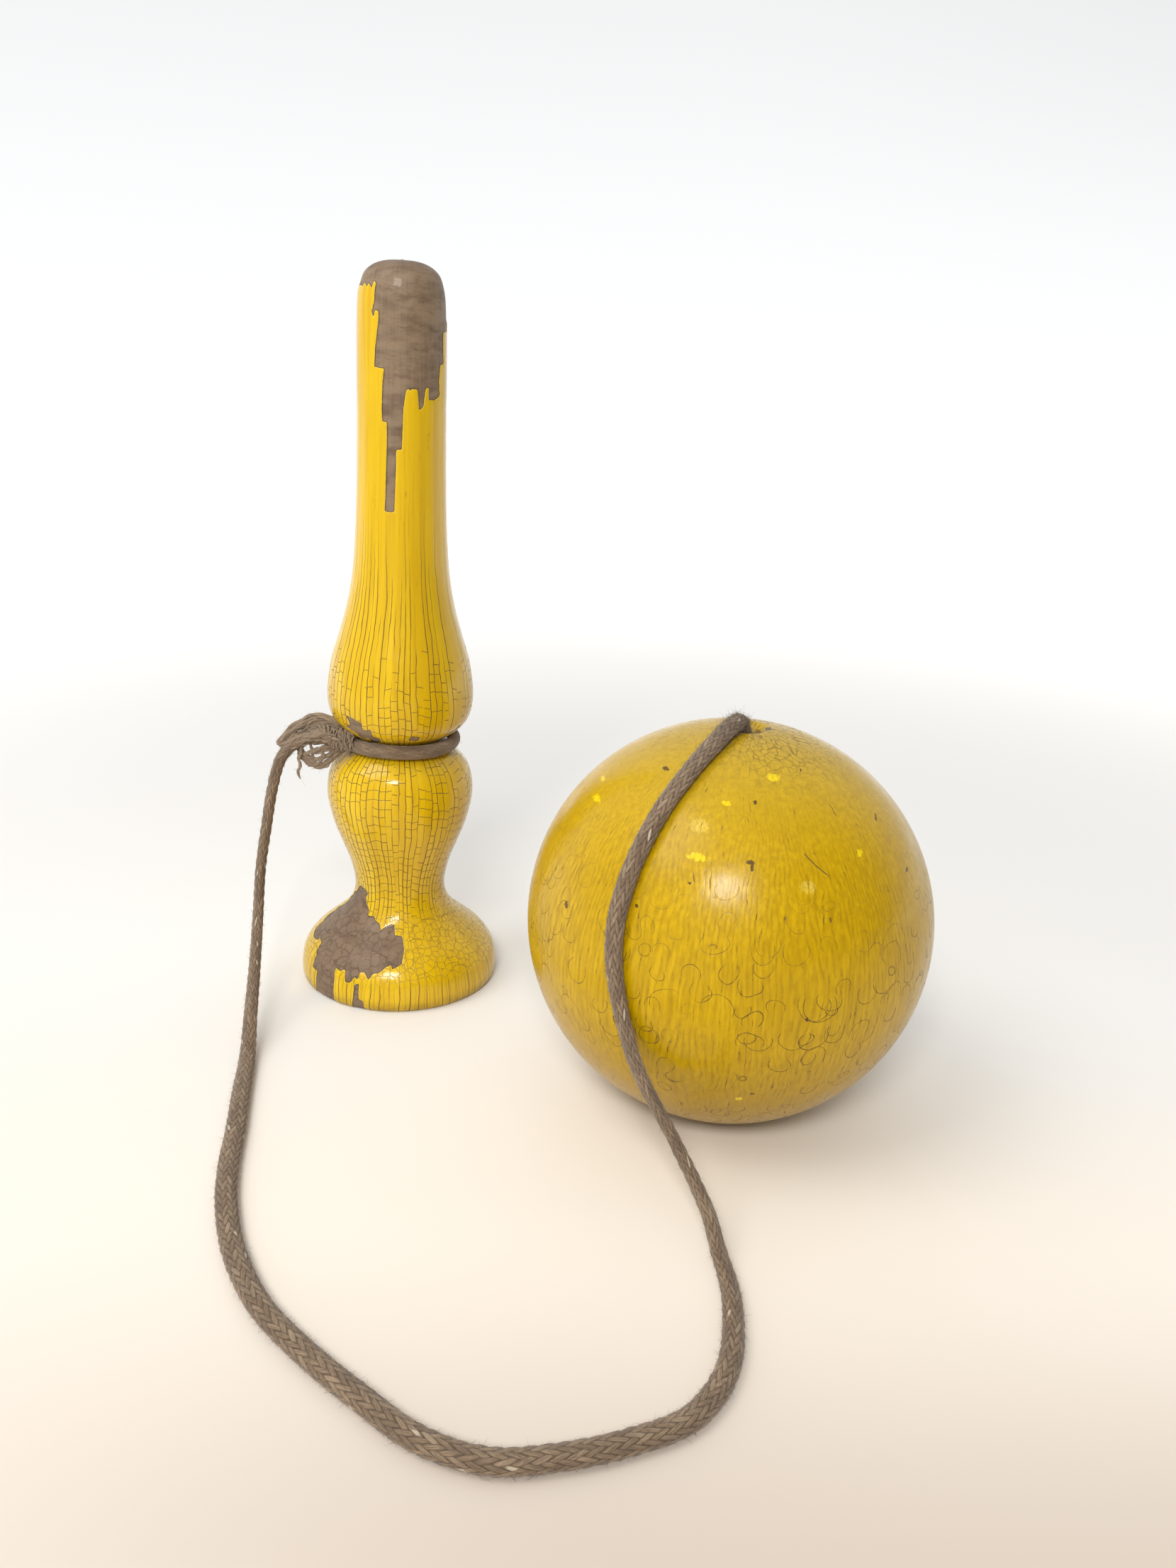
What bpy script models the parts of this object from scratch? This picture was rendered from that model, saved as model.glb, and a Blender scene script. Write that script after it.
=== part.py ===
"""A turned wooden catching toy: a handle that stands on its foot, a large ball with a catch hole
underneath, and the braided cotton cord that ties the ball to the handle's groove.

Metres, +Z up. +X runs to the handle's right and +Y to its back. The origin is on the ground, under
the middle of the box around the handle and the ball."""

import math

import bmesh
import bpy
from mathutils import Vector

# Ball
BALL_R = 0.040
BALL_RIM_R = 0.0124  # outer radius of the flat rim round the catch hole, which the ball stands on
CATCH_R = 0.011
CATCH_CHAMFER = 0.0004
CATCH_DEPTH = 0.045
CORD_HOLE_R = 0.0024
MOUTH_R = 0.0049  # the cord hole's top edge is worn round
MOUTH_DEPTH = 0.0038
BALL_FROM_HANDLE = (0.0727, -0.0453)

# Handle
FOOT_R = 0.0230
FOOT_RING = (0.0203, 0.0222)  # inner and outer radius of the flat ring that it stands on
DISH_CURVE_R = 0.0406  # the hollow under the foot fits the ball
GROOVE_R = 0.0104
GROOVE_Z = 0.0584
# Radius and height of the points that the outline above the foot ring runs through, crown first.
HANDLE_OUTLINE = (
    (0.0, 0.1600),
    (0.0035, 0.1597),
    (0.0059, 0.1589),
    (0.0077, 0.1574),
    (0.0086, 0.1552),
    (0.0091, 0.1522),
    (0.0093, 0.1450),
    (0.0094, 0.1318),
    (0.0096, 0.1166),
    (0.0100, 0.1043),
    (0.0107, 0.0955),
    (0.0120, 0.0884),
    (0.0136, 0.0826),
    (0.0151, 0.0777),
    (0.0159, 0.0736),
    (0.0163, 0.0697),
    (0.0161, 0.0665),
    (0.0152, 0.0637),
    (0.0134, 0.0615),
    (GROOVE_R + 0.0008, GROOVE_Z + 0.0015),
    (GROOVE_R, GROOVE_Z),
    (GROOVE_R + 0.0008, GROOVE_Z - 0.0015),
    (0.0132, 0.0551),
    (0.0152, 0.0528),
    (0.0163, 0.0496),
    (0.0166, 0.0457),
    (0.0160, 0.0419),
    (0.0149, 0.0379),
    (0.0133, 0.0338),
    (0.0118, 0.0299),
    (0.0108, 0.0262),
    (0.0104, 0.0228),
    (0.0110, 0.0197),
    (0.0128, 0.0168),
    (0.0161, 0.0138),
    (0.0199, 0.0106),
    (0.0222, 0.0074),
    (0.0229, 0.0046),
    (FOOT_R, 0.0024),
    (0.0228, 0.0008),
    (FOOT_RING[1], 0.0),
)

# Cord
CORD_R = 0.0017
LOOP_R = 0.0122  # from the handle's axis to the middle of the cord in the groove
LOOP_CORD_R = 0.0015
STRAND_R = 0.0011
TAIL_R = 0.0008
KNOT_TURN = 208  # degrees from +X to the knot, counterclockwise from above
KNOT_OUT = 0.0165
KNOT_HALF = (0.0034, 0.0030, 0.0039)  # outwards, along the loop, up
LOOP_GAP_DEG = 13  # half the arc of the loop that the knot takes up
STOP_KNOT_R = 0.0040
STOP_END_R = 0.0015
STOP_END_LENGTH = 0.0045
GAP = 0.0003

# The cord's route from the knot to its end in the ball, measured from the handle's axis at the ground.
SLACK_ROUTE = (
    (-0.0206, -0.0081, 0.0590),
    (-0.0224, -0.0074, 0.0580),
    (-0.0244, -0.0067, 0.0561),
    (-0.0263, -0.0062, 0.0533),
    (-0.0283, -0.0059, 0.0463),
    (-0.0296, -0.0072, 0.0374),
    (-0.0303, -0.0105, 0.0286),
    (-0.0296, -0.0165, 0.0199),
    (-0.0282, -0.0255, 0.0122),
    (-0.0262, -0.0373, 0.0061),
    (-0.0239, -0.0498, 0.0028),
    (-0.0218, -0.0618, 0.0019),
    (-0.0197, -0.0728, 0.0018),
    (-0.0177, -0.0848, 0.0018),
    (-0.0149, -0.0958, 0.0018),
    (-0.0101, -0.1078, 0.0018),
    (-0.0031, -0.1190, 0.0018),
    (0.0057, -0.1280, 0.0018),
    (0.0153, -0.1360, 0.0018),
    (0.0249, -0.1430, 0.0018),
    (0.0347, -0.1461, 0.0018),
    (0.0443, -0.1448, 0.0018),
    (0.0540, -0.1416, 0.0018),
    (0.0629, -0.1366, 0.0018),
    (0.0687, -0.1270, 0.0018),
    (0.0706, -0.1148, 0.0019),
)
BALL_ROUTE = (
    (0.0706, -0.1142, 0.0019),
    (0.0699, -0.1043, 0.0030),
    (0.0669, -0.0952, 0.0070),
    (0.0613, -0.0874, 0.0146),
    (0.0556, -0.0833, 0.0232),
    (0.0515, -0.0814, 0.0328),
    (0.0491, -0.0803, 0.0420),
    (0.0489, -0.0783, 0.0494),
    (0.0502, -0.0760, 0.0562),
    (0.0529, -0.0728, 0.0633),
    (0.0567, -0.0684, 0.0693),
    (0.0611, -0.0633, 0.0745),
    (0.0657, -0.0570, 0.0779),
    (0.0690, -0.0514, 0.0797),
    (0.0703, -0.0494, 0.0797),
    (0.0713, -0.0476, 0.0788),
    (0.0721, -0.0464, 0.0770),
    (0.0726, -0.0455, 0.0745),
    (0.0727, -0.0453, 0.0715),
    (0.0727, -0.0453, 0.0600),
    (0.0727, -0.0453, 0.0454),
)
UPPER_BOW = (
    (-0.0169, -0.0081, 0.0640),
    (-0.0189, -0.0079, 0.0648),
    (-0.0217, -0.0074, 0.0637),
    (-0.0244, -0.0069, 0.0614),
    (-0.0273, -0.0063, 0.0583),
)
LOWER_BOW = (
    (-0.0153, -0.0096, 0.0533),
    (-0.0155, -0.0100, 0.0519),
    (-0.0168, -0.0100, 0.0505),
    (-0.0186, -0.0096, 0.0514),
    (-0.0197, -0.0088, 0.0537),
)
FRAYED_TAIL = ((-0.0220, -0.0102, 0.0543), (-0.0223, -0.0105, 0.0519), (-0.0221, -0.0104, 0.0496))

# Fineness
TURN_STEPS = 48
KNOT_TURN_STEPS = 16
BALL_RINGS = 24
ROUTE_PIECES = 12
POINT_SPACING = 0.0076
POINT_TURN = math.radians(22)
CORD_SIDES_RESOLUTION = 2

# Place of the two turned pieces, so that the box around them has its middle over the origin
BALL_Z = math.sqrt(BALL_R**2 - BALL_RIM_R**2)
HANDLE_X = -(BALL_FROM_HANDLE[0] + BALL_R - FOOT_R) / 2
HANDLE_Y = -(BALL_FROM_HANDLE[1] - BALL_R + FOOT_R) / 2
HANDLE_AT = Vector((HANDLE_X, HANDLE_Y, 0))
BALL_AXIS = HANDLE_AT + Vector((*BALL_FROM_HANDLE, 0))

# Colour, roughness, metallic
PAINTED_WOOD = ("painted_wood", (0.87, 0.62, 0.03), 0.35, 0.0)
BALL_PAINT = ("ball_paint", (0.75, 0.52, 0.03), 0.40, 0.0)
COTTON = ("cotton", (0.28, 0.22, 0.17), 0.95, 0.0)


def material(name, colour, roughness, metallic):
    """A Principled material of its own for one object."""
    made = bpy.data.materials.new(name)
    made.use_nodes = True
    shader = made.node_tree.nodes["Principled BSDF"]
    shader.inputs["Base Color"].default_value = (*colour, 1)
    shader.inputs["Roughness"].default_value = roughness
    shader.inputs["Metallic"].default_value = metallic
    return made


def add_object(name, data, finish, at=(0, 0, 0)):
    data.materials.append(material(f"{name}_{finish[0]}", *finish[1:]))
    made = bpy.data.objects.new(name, data)
    made.location = at
    bpy.context.collection.objects.link(made)
    return made


def curve_through(points, pieces):
    """Points on a smooth curve through the given ones, with the given pieces in each span."""
    points = [Vector(p) for p in points]
    ends = [2 * points[0] - points[1], *points, 2 * points[-1] - points[-2]]
    found = []
    for before, start, end, after in zip(ends, ends[1:], ends[2:], ends[3:]):
        span = (end - start).length
        leave = (end - before) * span / ((start - before).length + span)
        arrive = (after - start) * span / ((after - end).length + span)
        for i in range(pieces):
            t = i / pieces
            found.append(
                start * (2 * t**3 - 3 * t**2 + 1)
                + leave * (t**3 - 2 * t**2 + t)
                + end * (3 * t**2 - 2 * t**3)
                + arrive * (t**3 - t**2)
            )
    return [*found, points[-1]]


def spaced(points):
    """The points of a fine line that keep it smooth: one after each POINT_SPACING or POINT_TURN."""
    kept = [points[0]]
    heading = points[1] - points[0]
    length = 0
    for previous, point, following in zip(points, points[1:], points[2:]):
        length += (point - previous).length
        turn = heading.angle(following - point)
        if length >= POINT_SPACING or turn >= POINT_TURN:
            kept.append(point)
            heading = following - point
            length = 0
    if (points[-1] - kept[-1]).length < CORD_R and len(kept) > 2:
        kept.pop()
    return [*kept, points[-1]]


def turned(name, outline, finish, at, closed=False, steps=TURN_STEPS):
    """An outline of (radius, height) points, outer side first and downwards, turned about Z."""
    mesh = bpy.data.meshes.new(name)
    made = bmesh.new()
    corners = [made.verts.new((radius, 0, height)) for radius, height in outline]
    for first, second in zip(corners, corners[1:]):
        made.edges.new((first, second))
    if closed:
        made.edges.new((corners[-1], corners[0]))
    made.to_mesh(mesh)
    made.free()
    piece = add_object(name, mesh, finish, at)
    turn = piece.modifiers.new("turn", "SCREW")
    turn.axis = "Z"
    turn.steps = steps
    turn.render_steps = steps
    turn.use_merge_vertices = True
    turn.merge_threshold = 0.00001
    turn.use_smooth_shade = True
    return piece


def tube(name, route, radius, at=HANDLE_AT):
    """A plain round tube with closed ends along a smooth curve through the route."""
    points = spaced(curve_through(route, ROUTE_PIECES))
    curve = bpy.data.curves.new(name, "CURVE")
    curve.dimensions = "3D"
    curve.bevel_depth = radius
    curve.bevel_resolution = CORD_SIDES_RESOLUTION
    curve.use_fill_caps = True
    spline = curve.splines.new("POLY")
    spline.points.add(len(points) - 1)
    for place, point in zip(spline.points, points):
        place.co = (*point, 1)
    return add_object(name, curve, COTTON, at)


def dish_outline():
    """The hollow under the foot, from the foot ring's inner edge to the axis."""
    centre_z = -math.sqrt(DISH_CURVE_R**2 - FOOT_RING[0] ** 2)
    steps = 5
    points = []
    for i in range(steps + 1):
        radius = FOOT_RING[0] * (1 - i / steps)
        points.append((radius, centre_z + math.sqrt(DISH_CURVE_R**2 - radius**2)))
    return points


def build_handle():
    outline = [*HANDLE_OUTLINE, *dish_outline()]
    return turned("handle", outline, PAINTED_WOOD, HANDLE_AT)


def mouth_outline():
    """The cord hole's worn edge, from its wall up to the ball's surface."""
    top = math.sqrt(BALL_R**2 - MOUTH_R**2)
    steps = 5
    points = []
    for i in range(steps):
        turn = math.radians(90 * i / steps)
        across = (MOUTH_R - CORD_HOLE_R) * math.cos(turn)
        points.append((MOUTH_R - across, top - MOUTH_DEPTH * (1 - math.sin(turn))))
    return points


def ball_outline():
    """The closed outline round the ball's wall, about the ball's own centre."""
    start = math.acos(MOUTH_R / BALL_R)
    end = -math.acos(BALL_RIM_R / BALL_R)
    upper = [start * (1 - i / (BALL_RINGS // 2)) for i in range(BALL_RINGS // 2)]
    lower = [end * i / (BALL_RINGS // 2) for i in range(BALL_RINGS // 2 + 1)]
    sphere = [(BALL_R * math.cos(turn), BALL_R * math.sin(turn)) for turn in upper + lower]
    roof = CATCH_DEPTH - BALL_Z
    catch_hole = [
        (CATCH_R + CATCH_CHAMFER, -BALL_Z),
        (CATCH_R, CATCH_CHAMFER - BALL_Z),
        (CATCH_R, roof - 0.002),
        (CATCH_R - 0.002, roof),
        (CORD_HOLE_R, roof),
    ]
    return sphere + catch_hole + mouth_outline()


def build_ball():
    at = BALL_AXIS + Vector((0, 0, BALL_Z))
    return turned("ball", ball_outline(), BALL_PAINT, at, closed=True)


def build_neck_loop():
    """The cord in the groove: a ring that is open where the knot closes it."""
    steps = 32
    start = math.radians(KNOT_TURN + LOOP_GAP_DEG)
    sweep = math.radians(360 - 2 * LOOP_GAP_DEG)
    curve = bpy.data.curves.new("cord_neck_loop", "CURVE")
    curve.dimensions = "3D"
    curve.bevel_depth = LOOP_CORD_R
    curve.bevel_resolution = CORD_SIDES_RESOLUTION
    curve.use_fill_caps = True
    spline = curve.splines.new("POLY")
    spline.points.add(steps)
    for i, place in enumerate(spline.points):
        turn = start + sweep * i / steps
        place.co = (LOOP_R * math.cos(turn), LOOP_R * math.sin(turn), GROOVE_Z, 1)
    return add_object("cord_neck_loop", curve, COTTON, HANDLE_AT)


def build_knot():
    """The hitch that closes the loop, as a plain lump."""
    mesh = bpy.data.meshes.new("cord_knot")
    made = bmesh.new()
    bmesh.ops.create_uvsphere(made, u_segments=16, v_segments=10, radius=1)
    bmesh.ops.scale(made, vec=KNOT_HALF, verts=made.verts)
    made.to_mesh(mesh)
    made.free()
    mesh.shade_smooth()
    turn = math.radians(KNOT_TURN)
    out = Vector((math.cos(turn), math.sin(turn), 0)) * KNOT_OUT
    knot = add_object("cord_knot", mesh, COTTON, HANDLE_AT + out + Vector((0, 0, GROOVE_Z)))
    knot.rotation_euler.z = turn
    return knot


def build_stop_knot():
    """The knot that holds the ball on the cord, under the roof of the catch hole, with its end."""
    middle = CATCH_DEPTH - GAP - STOP_KNOT_R
    rings = 8
    low = math.asin(STOP_END_R / STOP_KNOT_R)
    outline = []
    for i in range(rings + 1):
        turn = (math.pi - low) * i / rings
        radius = STOP_KNOT_R * math.sin(turn) if i else 0
        outline.append((radius, middle + STOP_KNOT_R * math.cos(turn)))
    end_z = outline[-1][1] - STOP_END_LENGTH
    outline += [(STOP_END_R, end_z), (0, end_z)]
    return turned("cord_stop_knot", outline, COTTON, BALL_AXIS, steps=KNOT_TURN_STEPS)


def main():
    for old in list(bpy.data.objects):
        bpy.data.objects.remove(old)
    build_handle()
    build_ball()
    build_neck_loop()
    build_knot()
    tube("cord_bow_upper", UPPER_BOW, STRAND_R)
    tube("cord_bow_lower", LOWER_BOW, STRAND_R)
    tube("cord_frayed_tail", FRAYED_TAIL, TAIL_R)
    tube("cord_slack", SLACK_ROUTE, CORD_R)
    tube("cord_to_ball", BALL_ROUTE, CORD_R)
    build_stop_knot()


main()
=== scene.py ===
"""The catching toy: a turned handle in chipped yellow paint, a large painted ball and a braided cord.

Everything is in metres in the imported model's frame, and the turned pieces' own measures are in
millimetres where a name ends in _MM."""

import math

import bpy
import numpy as np
from mathutils import Matrix, Vector


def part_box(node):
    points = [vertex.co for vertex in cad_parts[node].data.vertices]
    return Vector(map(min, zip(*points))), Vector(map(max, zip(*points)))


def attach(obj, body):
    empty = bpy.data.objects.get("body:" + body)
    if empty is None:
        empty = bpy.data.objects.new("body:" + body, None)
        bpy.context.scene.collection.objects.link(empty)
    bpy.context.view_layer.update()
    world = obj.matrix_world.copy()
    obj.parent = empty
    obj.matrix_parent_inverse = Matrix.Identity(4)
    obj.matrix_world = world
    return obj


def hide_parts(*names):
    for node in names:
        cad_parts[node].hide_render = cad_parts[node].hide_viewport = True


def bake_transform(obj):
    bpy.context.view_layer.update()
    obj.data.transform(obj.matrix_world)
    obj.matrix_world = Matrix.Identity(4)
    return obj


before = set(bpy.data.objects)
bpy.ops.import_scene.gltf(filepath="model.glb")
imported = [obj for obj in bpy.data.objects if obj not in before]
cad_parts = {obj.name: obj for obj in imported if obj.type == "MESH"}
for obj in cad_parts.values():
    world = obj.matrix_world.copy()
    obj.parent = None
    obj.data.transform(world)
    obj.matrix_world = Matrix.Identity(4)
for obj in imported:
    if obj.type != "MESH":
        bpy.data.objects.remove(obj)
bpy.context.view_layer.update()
MM = 0.001
SEED = 7

# ---------------------------------------------------------------- places, from the CAD model


def middle(node):
    low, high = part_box(node)
    return (low + high) / 2


HANDLE_AT = Vector((middle("handle").x, middle("handle").y, 0))
BALL_AT = Vector((middle("ball").x, middle("ball").y, 0))
BALL_R = 0.040
BALL_RIM_R = 0.0124
BALL_Z = math.sqrt(BALL_R**2 - BALL_RIM_R**2)
BALL_CENTRE = np.array(BALL_AT) + (0, 0, BALL_Z)
CATCH_R = 0.011
CATCH_CHAMFER = 0.0004
CATCH_DEPTH = 0.045
CORD_HOLE_R = 0.0024
MOUTH_R = 0.0049
MOUTH_DEPTH = 0.0038
LOOP_R = 0.0122
GROOVE_Z = 0.0584
KNOT_TURN = 208
LOOP_GAP_DEG = 13

# The cord's route, measured from the handle's axis at the ground. It is the CAD cord's, but where
# that cord's two sections meet, one point stands for their two ends, 0.3 mm from each.
SLACK_ROUTE = (
    (-0.0206, -0.0081, 0.0590),
    (-0.0224, -0.0074, 0.0580),
    (-0.0244, -0.0067, 0.0561),
    (-0.0263, -0.0062, 0.0533),
    (-0.0283, -0.0059, 0.0463),
    (-0.0296, -0.0072, 0.0374),
    (-0.0303, -0.0105, 0.0286),
    (-0.0296, -0.0165, 0.0199),
    (-0.0282, -0.0255, 0.0122),
    (-0.0262, -0.0373, 0.0061),
    (-0.0239, -0.0498, 0.0028),
    (-0.0218, -0.0618, 0.0019),
    (-0.0197, -0.0728, 0.0018),
    (-0.0177, -0.0848, 0.0018),
    (-0.0149, -0.0958, 0.0018),
    (-0.0101, -0.1078, 0.0018),
    (-0.0031, -0.1190, 0.0018),
    (0.0057, -0.1280, 0.0018),
    (0.0153, -0.1360, 0.0018),
    (0.0249, -0.1430, 0.0018),
    (0.0347, -0.1461, 0.0018),
    (0.0443, -0.1448, 0.0018),
    (0.0540, -0.1416, 0.0018),
    (0.0629, -0.1366, 0.0018),
    (0.0687, -0.1270, 0.0018),
    (0.0706, -0.1145, 0.0019),
)
BALL_ROUTE = (
    (0.0699, -0.1043, 0.0030),
    (0.0669, -0.0952, 0.0070),
    (0.0613, -0.0874, 0.0146),
    (0.0556, -0.0833, 0.0232),
    (0.0515, -0.0814, 0.0328),
    (0.0491, -0.0803, 0.0420),
    (0.0489, -0.0783, 0.0494),
    (0.0502, -0.0760, 0.0562),
    (0.0529, -0.0728, 0.0633),
    (0.0567, -0.0684, 0.0693),
    (0.0611, -0.0633, 0.0745),
    (0.0657, -0.0570, 0.0779),
    (0.0690, -0.0514, 0.0797),
    (0.0703, -0.0494, 0.0797),
    (0.0713, -0.0476, 0.0788),
    (0.0721, -0.0464, 0.0770),
    (0.0726, -0.0455, 0.0745),
    (0.0727, -0.0453, 0.0715),
    (0.0727, -0.0453, 0.0600),
    (0.0727, -0.0453, 0.0454),
)
HITCH_ROUTE = ((-0.0158, -0.0082, 0.0598), (-0.0184, -0.0080, 0.0597))  # the braid's start, in the hitch

# ---------------------------------------------------------------- camera

LENS_MM = 29.29
TILT_DEG = 18.448
ROLL_DEG = 3.001
CAMERA_AT = (-0.00146, -0.24860, 0.14278)


def make_camera():
    """A phone's main camera, tilted down and rolled a little."""
    data = bpy.data.cameras.new("camera")
    data.sensor_fit = "AUTO"
    data.sensor_width = 36
    data.lens = LENS_MM
    data.clip_start = 0.01
    data.clip_end = 50
    camera = bpy.data.objects.new("camera", data)
    tilt = Matrix.Rotation(math.radians(90 - TILT_DEG), 4, "X")
    roll = Matrix.Rotation(math.radians(ROLL_DEG), 4, "Z")
    place = Matrix.Translation(CAMERA_AT)
    camera.matrix_world = place @ tilt @ roll
    bpy.context.scene.collection.objects.link(camera)
    bpy.context.scene.camera = camera


# ---------------------------------------------------------------- shader nodes


class Nodes:
    """Short calls that add nodes to the node tree of a material or a world."""

    def __init__(self, owner):
        owner.use_nodes = True
        self.nodes = owner.node_tree.nodes
        self.links = owner.node_tree.links

    def put(self, socket, value):
        if isinstance(value, bpy.types.NodeSocket):
            self.links.new(value, socket)
        elif isinstance(value, tuple) and len(value) == 3 and len(socket.default_value) == 4:
            socket.default_value = (*value, 1)
        else:
            socket.default_value = value

    def fill(self, node, sockets):
        """Puts a value or a link in each of the node's inputs that are named or numbered."""
        for name, value in sockets.items():
            self.put(node.inputs[name], value)

    def add(self, kind, sockets=None, **settings):
        node = self.nodes.new(kind)
        for name, value in settings.items():
            setattr(node, name, value)
        self.fill(node, sockets or {})
        return node

    def attribute(self, name, output="Fac"):
        return self.add("ShaderNodeAttribute", attribute_name=name).outputs[output]

    def object_place(self):
        return self.add("ShaderNodeTexCoord").outputs["Object"]

    def math(self, operation, *values, clamp=False):
        node = self.add("ShaderNodeMath", dict(enumerate(values)), operation=operation, use_clamp=clamp)
        return node.outputs[0]

    def chain(self, operation, values):
        """One operation, carried from the first value on to the last."""
        found = values[0]
        for value in values[1:]:
            found = self.math(operation, found, value)
        return found

    def times(self, *values):
        return self.chain("MULTIPLY", values)

    def plus(self, *values):
        return self.chain("ADD", values)

    def highest(self, *values):
        return self.chain("MAXIMUM", values)

    def minus(self, first, second):
        return self.math("SUBTRACT", first, second)

    def step(self, value, low, high, start=0.0, end=1.0):
        """A smooth ramp from start, at low, to end, at high."""
        sockets = {"Value": value, "From Min": low, "From Max": high, "To Min": start, "To Max": end}
        return self.add("ShaderNodeMapRange", sockets, interpolation_type="SMOOTHSTEP").outputs[0]

    def vector(self, operation, *values):
        """The outputs of one piece of vector arithmetic."""
        return self.add("ShaderNodeVectorMath", dict(enumerate(values)), operation=operation).outputs

    def scaled(self, vector, factors):
        return self.vector("MULTIPLY", vector, factors)[0]

    def moved(self, vector, by):
        return self.vector("ADD", vector, by)[0]

    def length(self, vector):
        return self.vector("LENGTH", vector)["Value"]

    def split(self, vector):
        return self.add("ShaderNodeSeparateXYZ", {0: vector}).outputs

    def joined(self, x, y, z):
        return self.add("ShaderNodeCombineXYZ", {0: x, 1: y, 2: z}).outputs[0]

    def noise(self, vector, factors=(1, 1, 1), detail=2.0, rough=0.5, output="Fac"):
        place = self.scaled(vector, factors)
        sockets = {"Vector": place, "Scale": 1, "Detail": detail, "Roughness": rough}
        return self.add("ShaderNodeTexNoise", sockets).outputs[output]

    def uneven(self, vector, factors, detail=2.0, rough=0.5):
        """Noise about 0."""
        return self.minus(self.noise(vector, factors, detail, rough), 0.5)

    def chance(self, *values):
        """A random number from 0 to 1 for each whole number, or set of up to three of them."""
        place = self.joined(*(*values, 0, 0)[:3])
        return self.add("ShaderNodeTexWhiteNoise", {"Vector": place}, noise_dimensions="3D").outputs["Value"]

    def cells(self, vector, factors, feature="F1", spread=1.0):
        """The outputs of a pattern of uneven cells."""
        sockets = {"Vector": self.scaled(vector, factors), "Scale": 1, "Randomness": spread}
        return self.add("ShaderNodeTexVoronoi", sockets, feature=feature).outputs

    def mix(self, share, first, second):
        sockets = {"Factor": share, 6: first, 7: second}
        return self.add("ShaderNodeMix", sockets, data_type="RGBA").outputs[2]

    def layered(self, colour, *layers):
        """A colour with others laid over it in turn, each given with its share."""
        for share, over in layers:
            colour = self.mix(share, colour, over)
        return colour

    def between(self, share, first, second):
        sockets = {"Factor": share, 2: first, 3: second}
        return self.add("ShaderNodeMix", sockets, data_type="FLOAT").outputs[0]

    def bump(self, height_mm, strength):
        sockets = {"Height": height_mm, "Distance": MM, "Strength": strength}
        return self.add("ShaderNodeBump", sockets).outputs[0]

    def line(self, distance_mm, half_width_mm, soft_mm):
        """1 on a line and 0 away from it."""
        return self.step(distance_mm, half_width_mm, self.plus(half_width_mm, soft_mm), 1.0, 0.0)

    def fold(self, value):
        """The distance to the nearest whole number, and that number's lower neighbour."""
        part = self.math("FRACT", value)
        return self.math("MINIMUM", part, self.minus(1, part)), self.math("FLOOR", value)


class Finish(Nodes):
    """One new material and its main shader."""

    def __init__(self, name):
        self.material = bpy.data.materials.new(name)
        super().__init__(self.material)
        self.shader = self.nodes["Principled BSDF"]

    def surface(self, sockets):
        self.fill(self.shader, sockets)


# ---------------------------------------------------------------- mesh building


def mesh_object(name, points, faces, finish, smooth=True):
    mesh = bpy.data.meshes.new(name)
    mesh.from_pydata(points.tolist(), [], faces)
    mesh.update()
    if smooth:
        mesh.shade_smooth()
    mesh.materials.append(finish.material)
    piece = bpy.data.objects.new(name, mesh)
    bpy.context.scene.collection.objects.link(piece)
    return piece


def ring_faces(rings, around, start=0, closed=False):
    """Quads between neighbouring rings of points, numbered ring by ring from start."""
    ring = np.arange(rings if closed else rings - 1)[:, None] * around
    following = (ring + around) % (rings * around) if closed else ring + around
    here = np.arange(around)[None, :]
    beside = (here + 1) % around
    quads = np.stack([ring + here, ring + beside, following + beside, following + here], -1)
    return (quads.reshape(-1, 4) + start).tolist()


def save_attribute(piece, name, values):
    kind = "FLOAT_VECTOR" if values.ndim == 2 else "FLOAT"
    made = piece.data.attributes.new(name, kind, "POINT")
    made.data.foreach_set("vector" if values.ndim == 2 else "value", values.astype(np.float32).ravel())


def curve_through(points, pieces):
    """Points on a smooth curve through the given ones, with the given pieces in each span."""
    points = [np.array(p, float) for p in points]
    ends = [2 * points[0] - points[1], *points, 2 * points[-1] - points[-2]]
    t = (np.arange(pieces) / pieces)[:, None]
    found = []
    for before, start, end, after in zip(ends, ends[1:], ends[2:], ends[3:]):
        span = np.linalg.norm(end - start)
        leave = (end - before) * span / (np.linalg.norm(start - before) + span)
        arrive = (after - start) * span / (np.linalg.norm(after - end) + span)
        found.append(
            start * (2 * t**3 - 3 * t**2 + 1)
            + leave * (t**3 - 2 * t**2 + t)
            + end * (3 * t**2 - 2 * t**3)
            + arrive * (t**3 - t**2)
        )
    return np.vstack([*found, points[-1][None]])


def distances(line):
    """How far along a line each of its points is."""
    return np.concatenate([[0], np.cumsum(np.linalg.norm(np.diff(line, axis=0), axis=1))])


def at_lengths(line, wanted):
    along = distances(line)
    return np.stack([np.interp(wanted, along, line[:, k]) for k in range(line.shape[1])], 1)


def evenly(line, spacing):
    total = distances(line)[-1]
    return at_lengths(line, np.linspace(0, total, max(2, int(round(total / spacing)) + 1)))


def unit(vectors):
    return vectors / np.maximum(np.linalg.norm(vectors, axis=-1, keepdims=True), 1e-12)


def smooth_step(values, low, high):
    t = np.clip((values - low) / (high - low), 0, 1)
    return t * t * (3 - 2 * t)


# ---------------------------------------------------------------- turned pieces

CRACK_RING_MM = 11.5  # the radius at which the grain pattern keeps its own scale
HANDLE_AROUND = 256
HANDLE_STEP = 0.00050
PAINT_THICKNESS = 0.00017
HANDLE_WOBBLE = 0.00002

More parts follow.
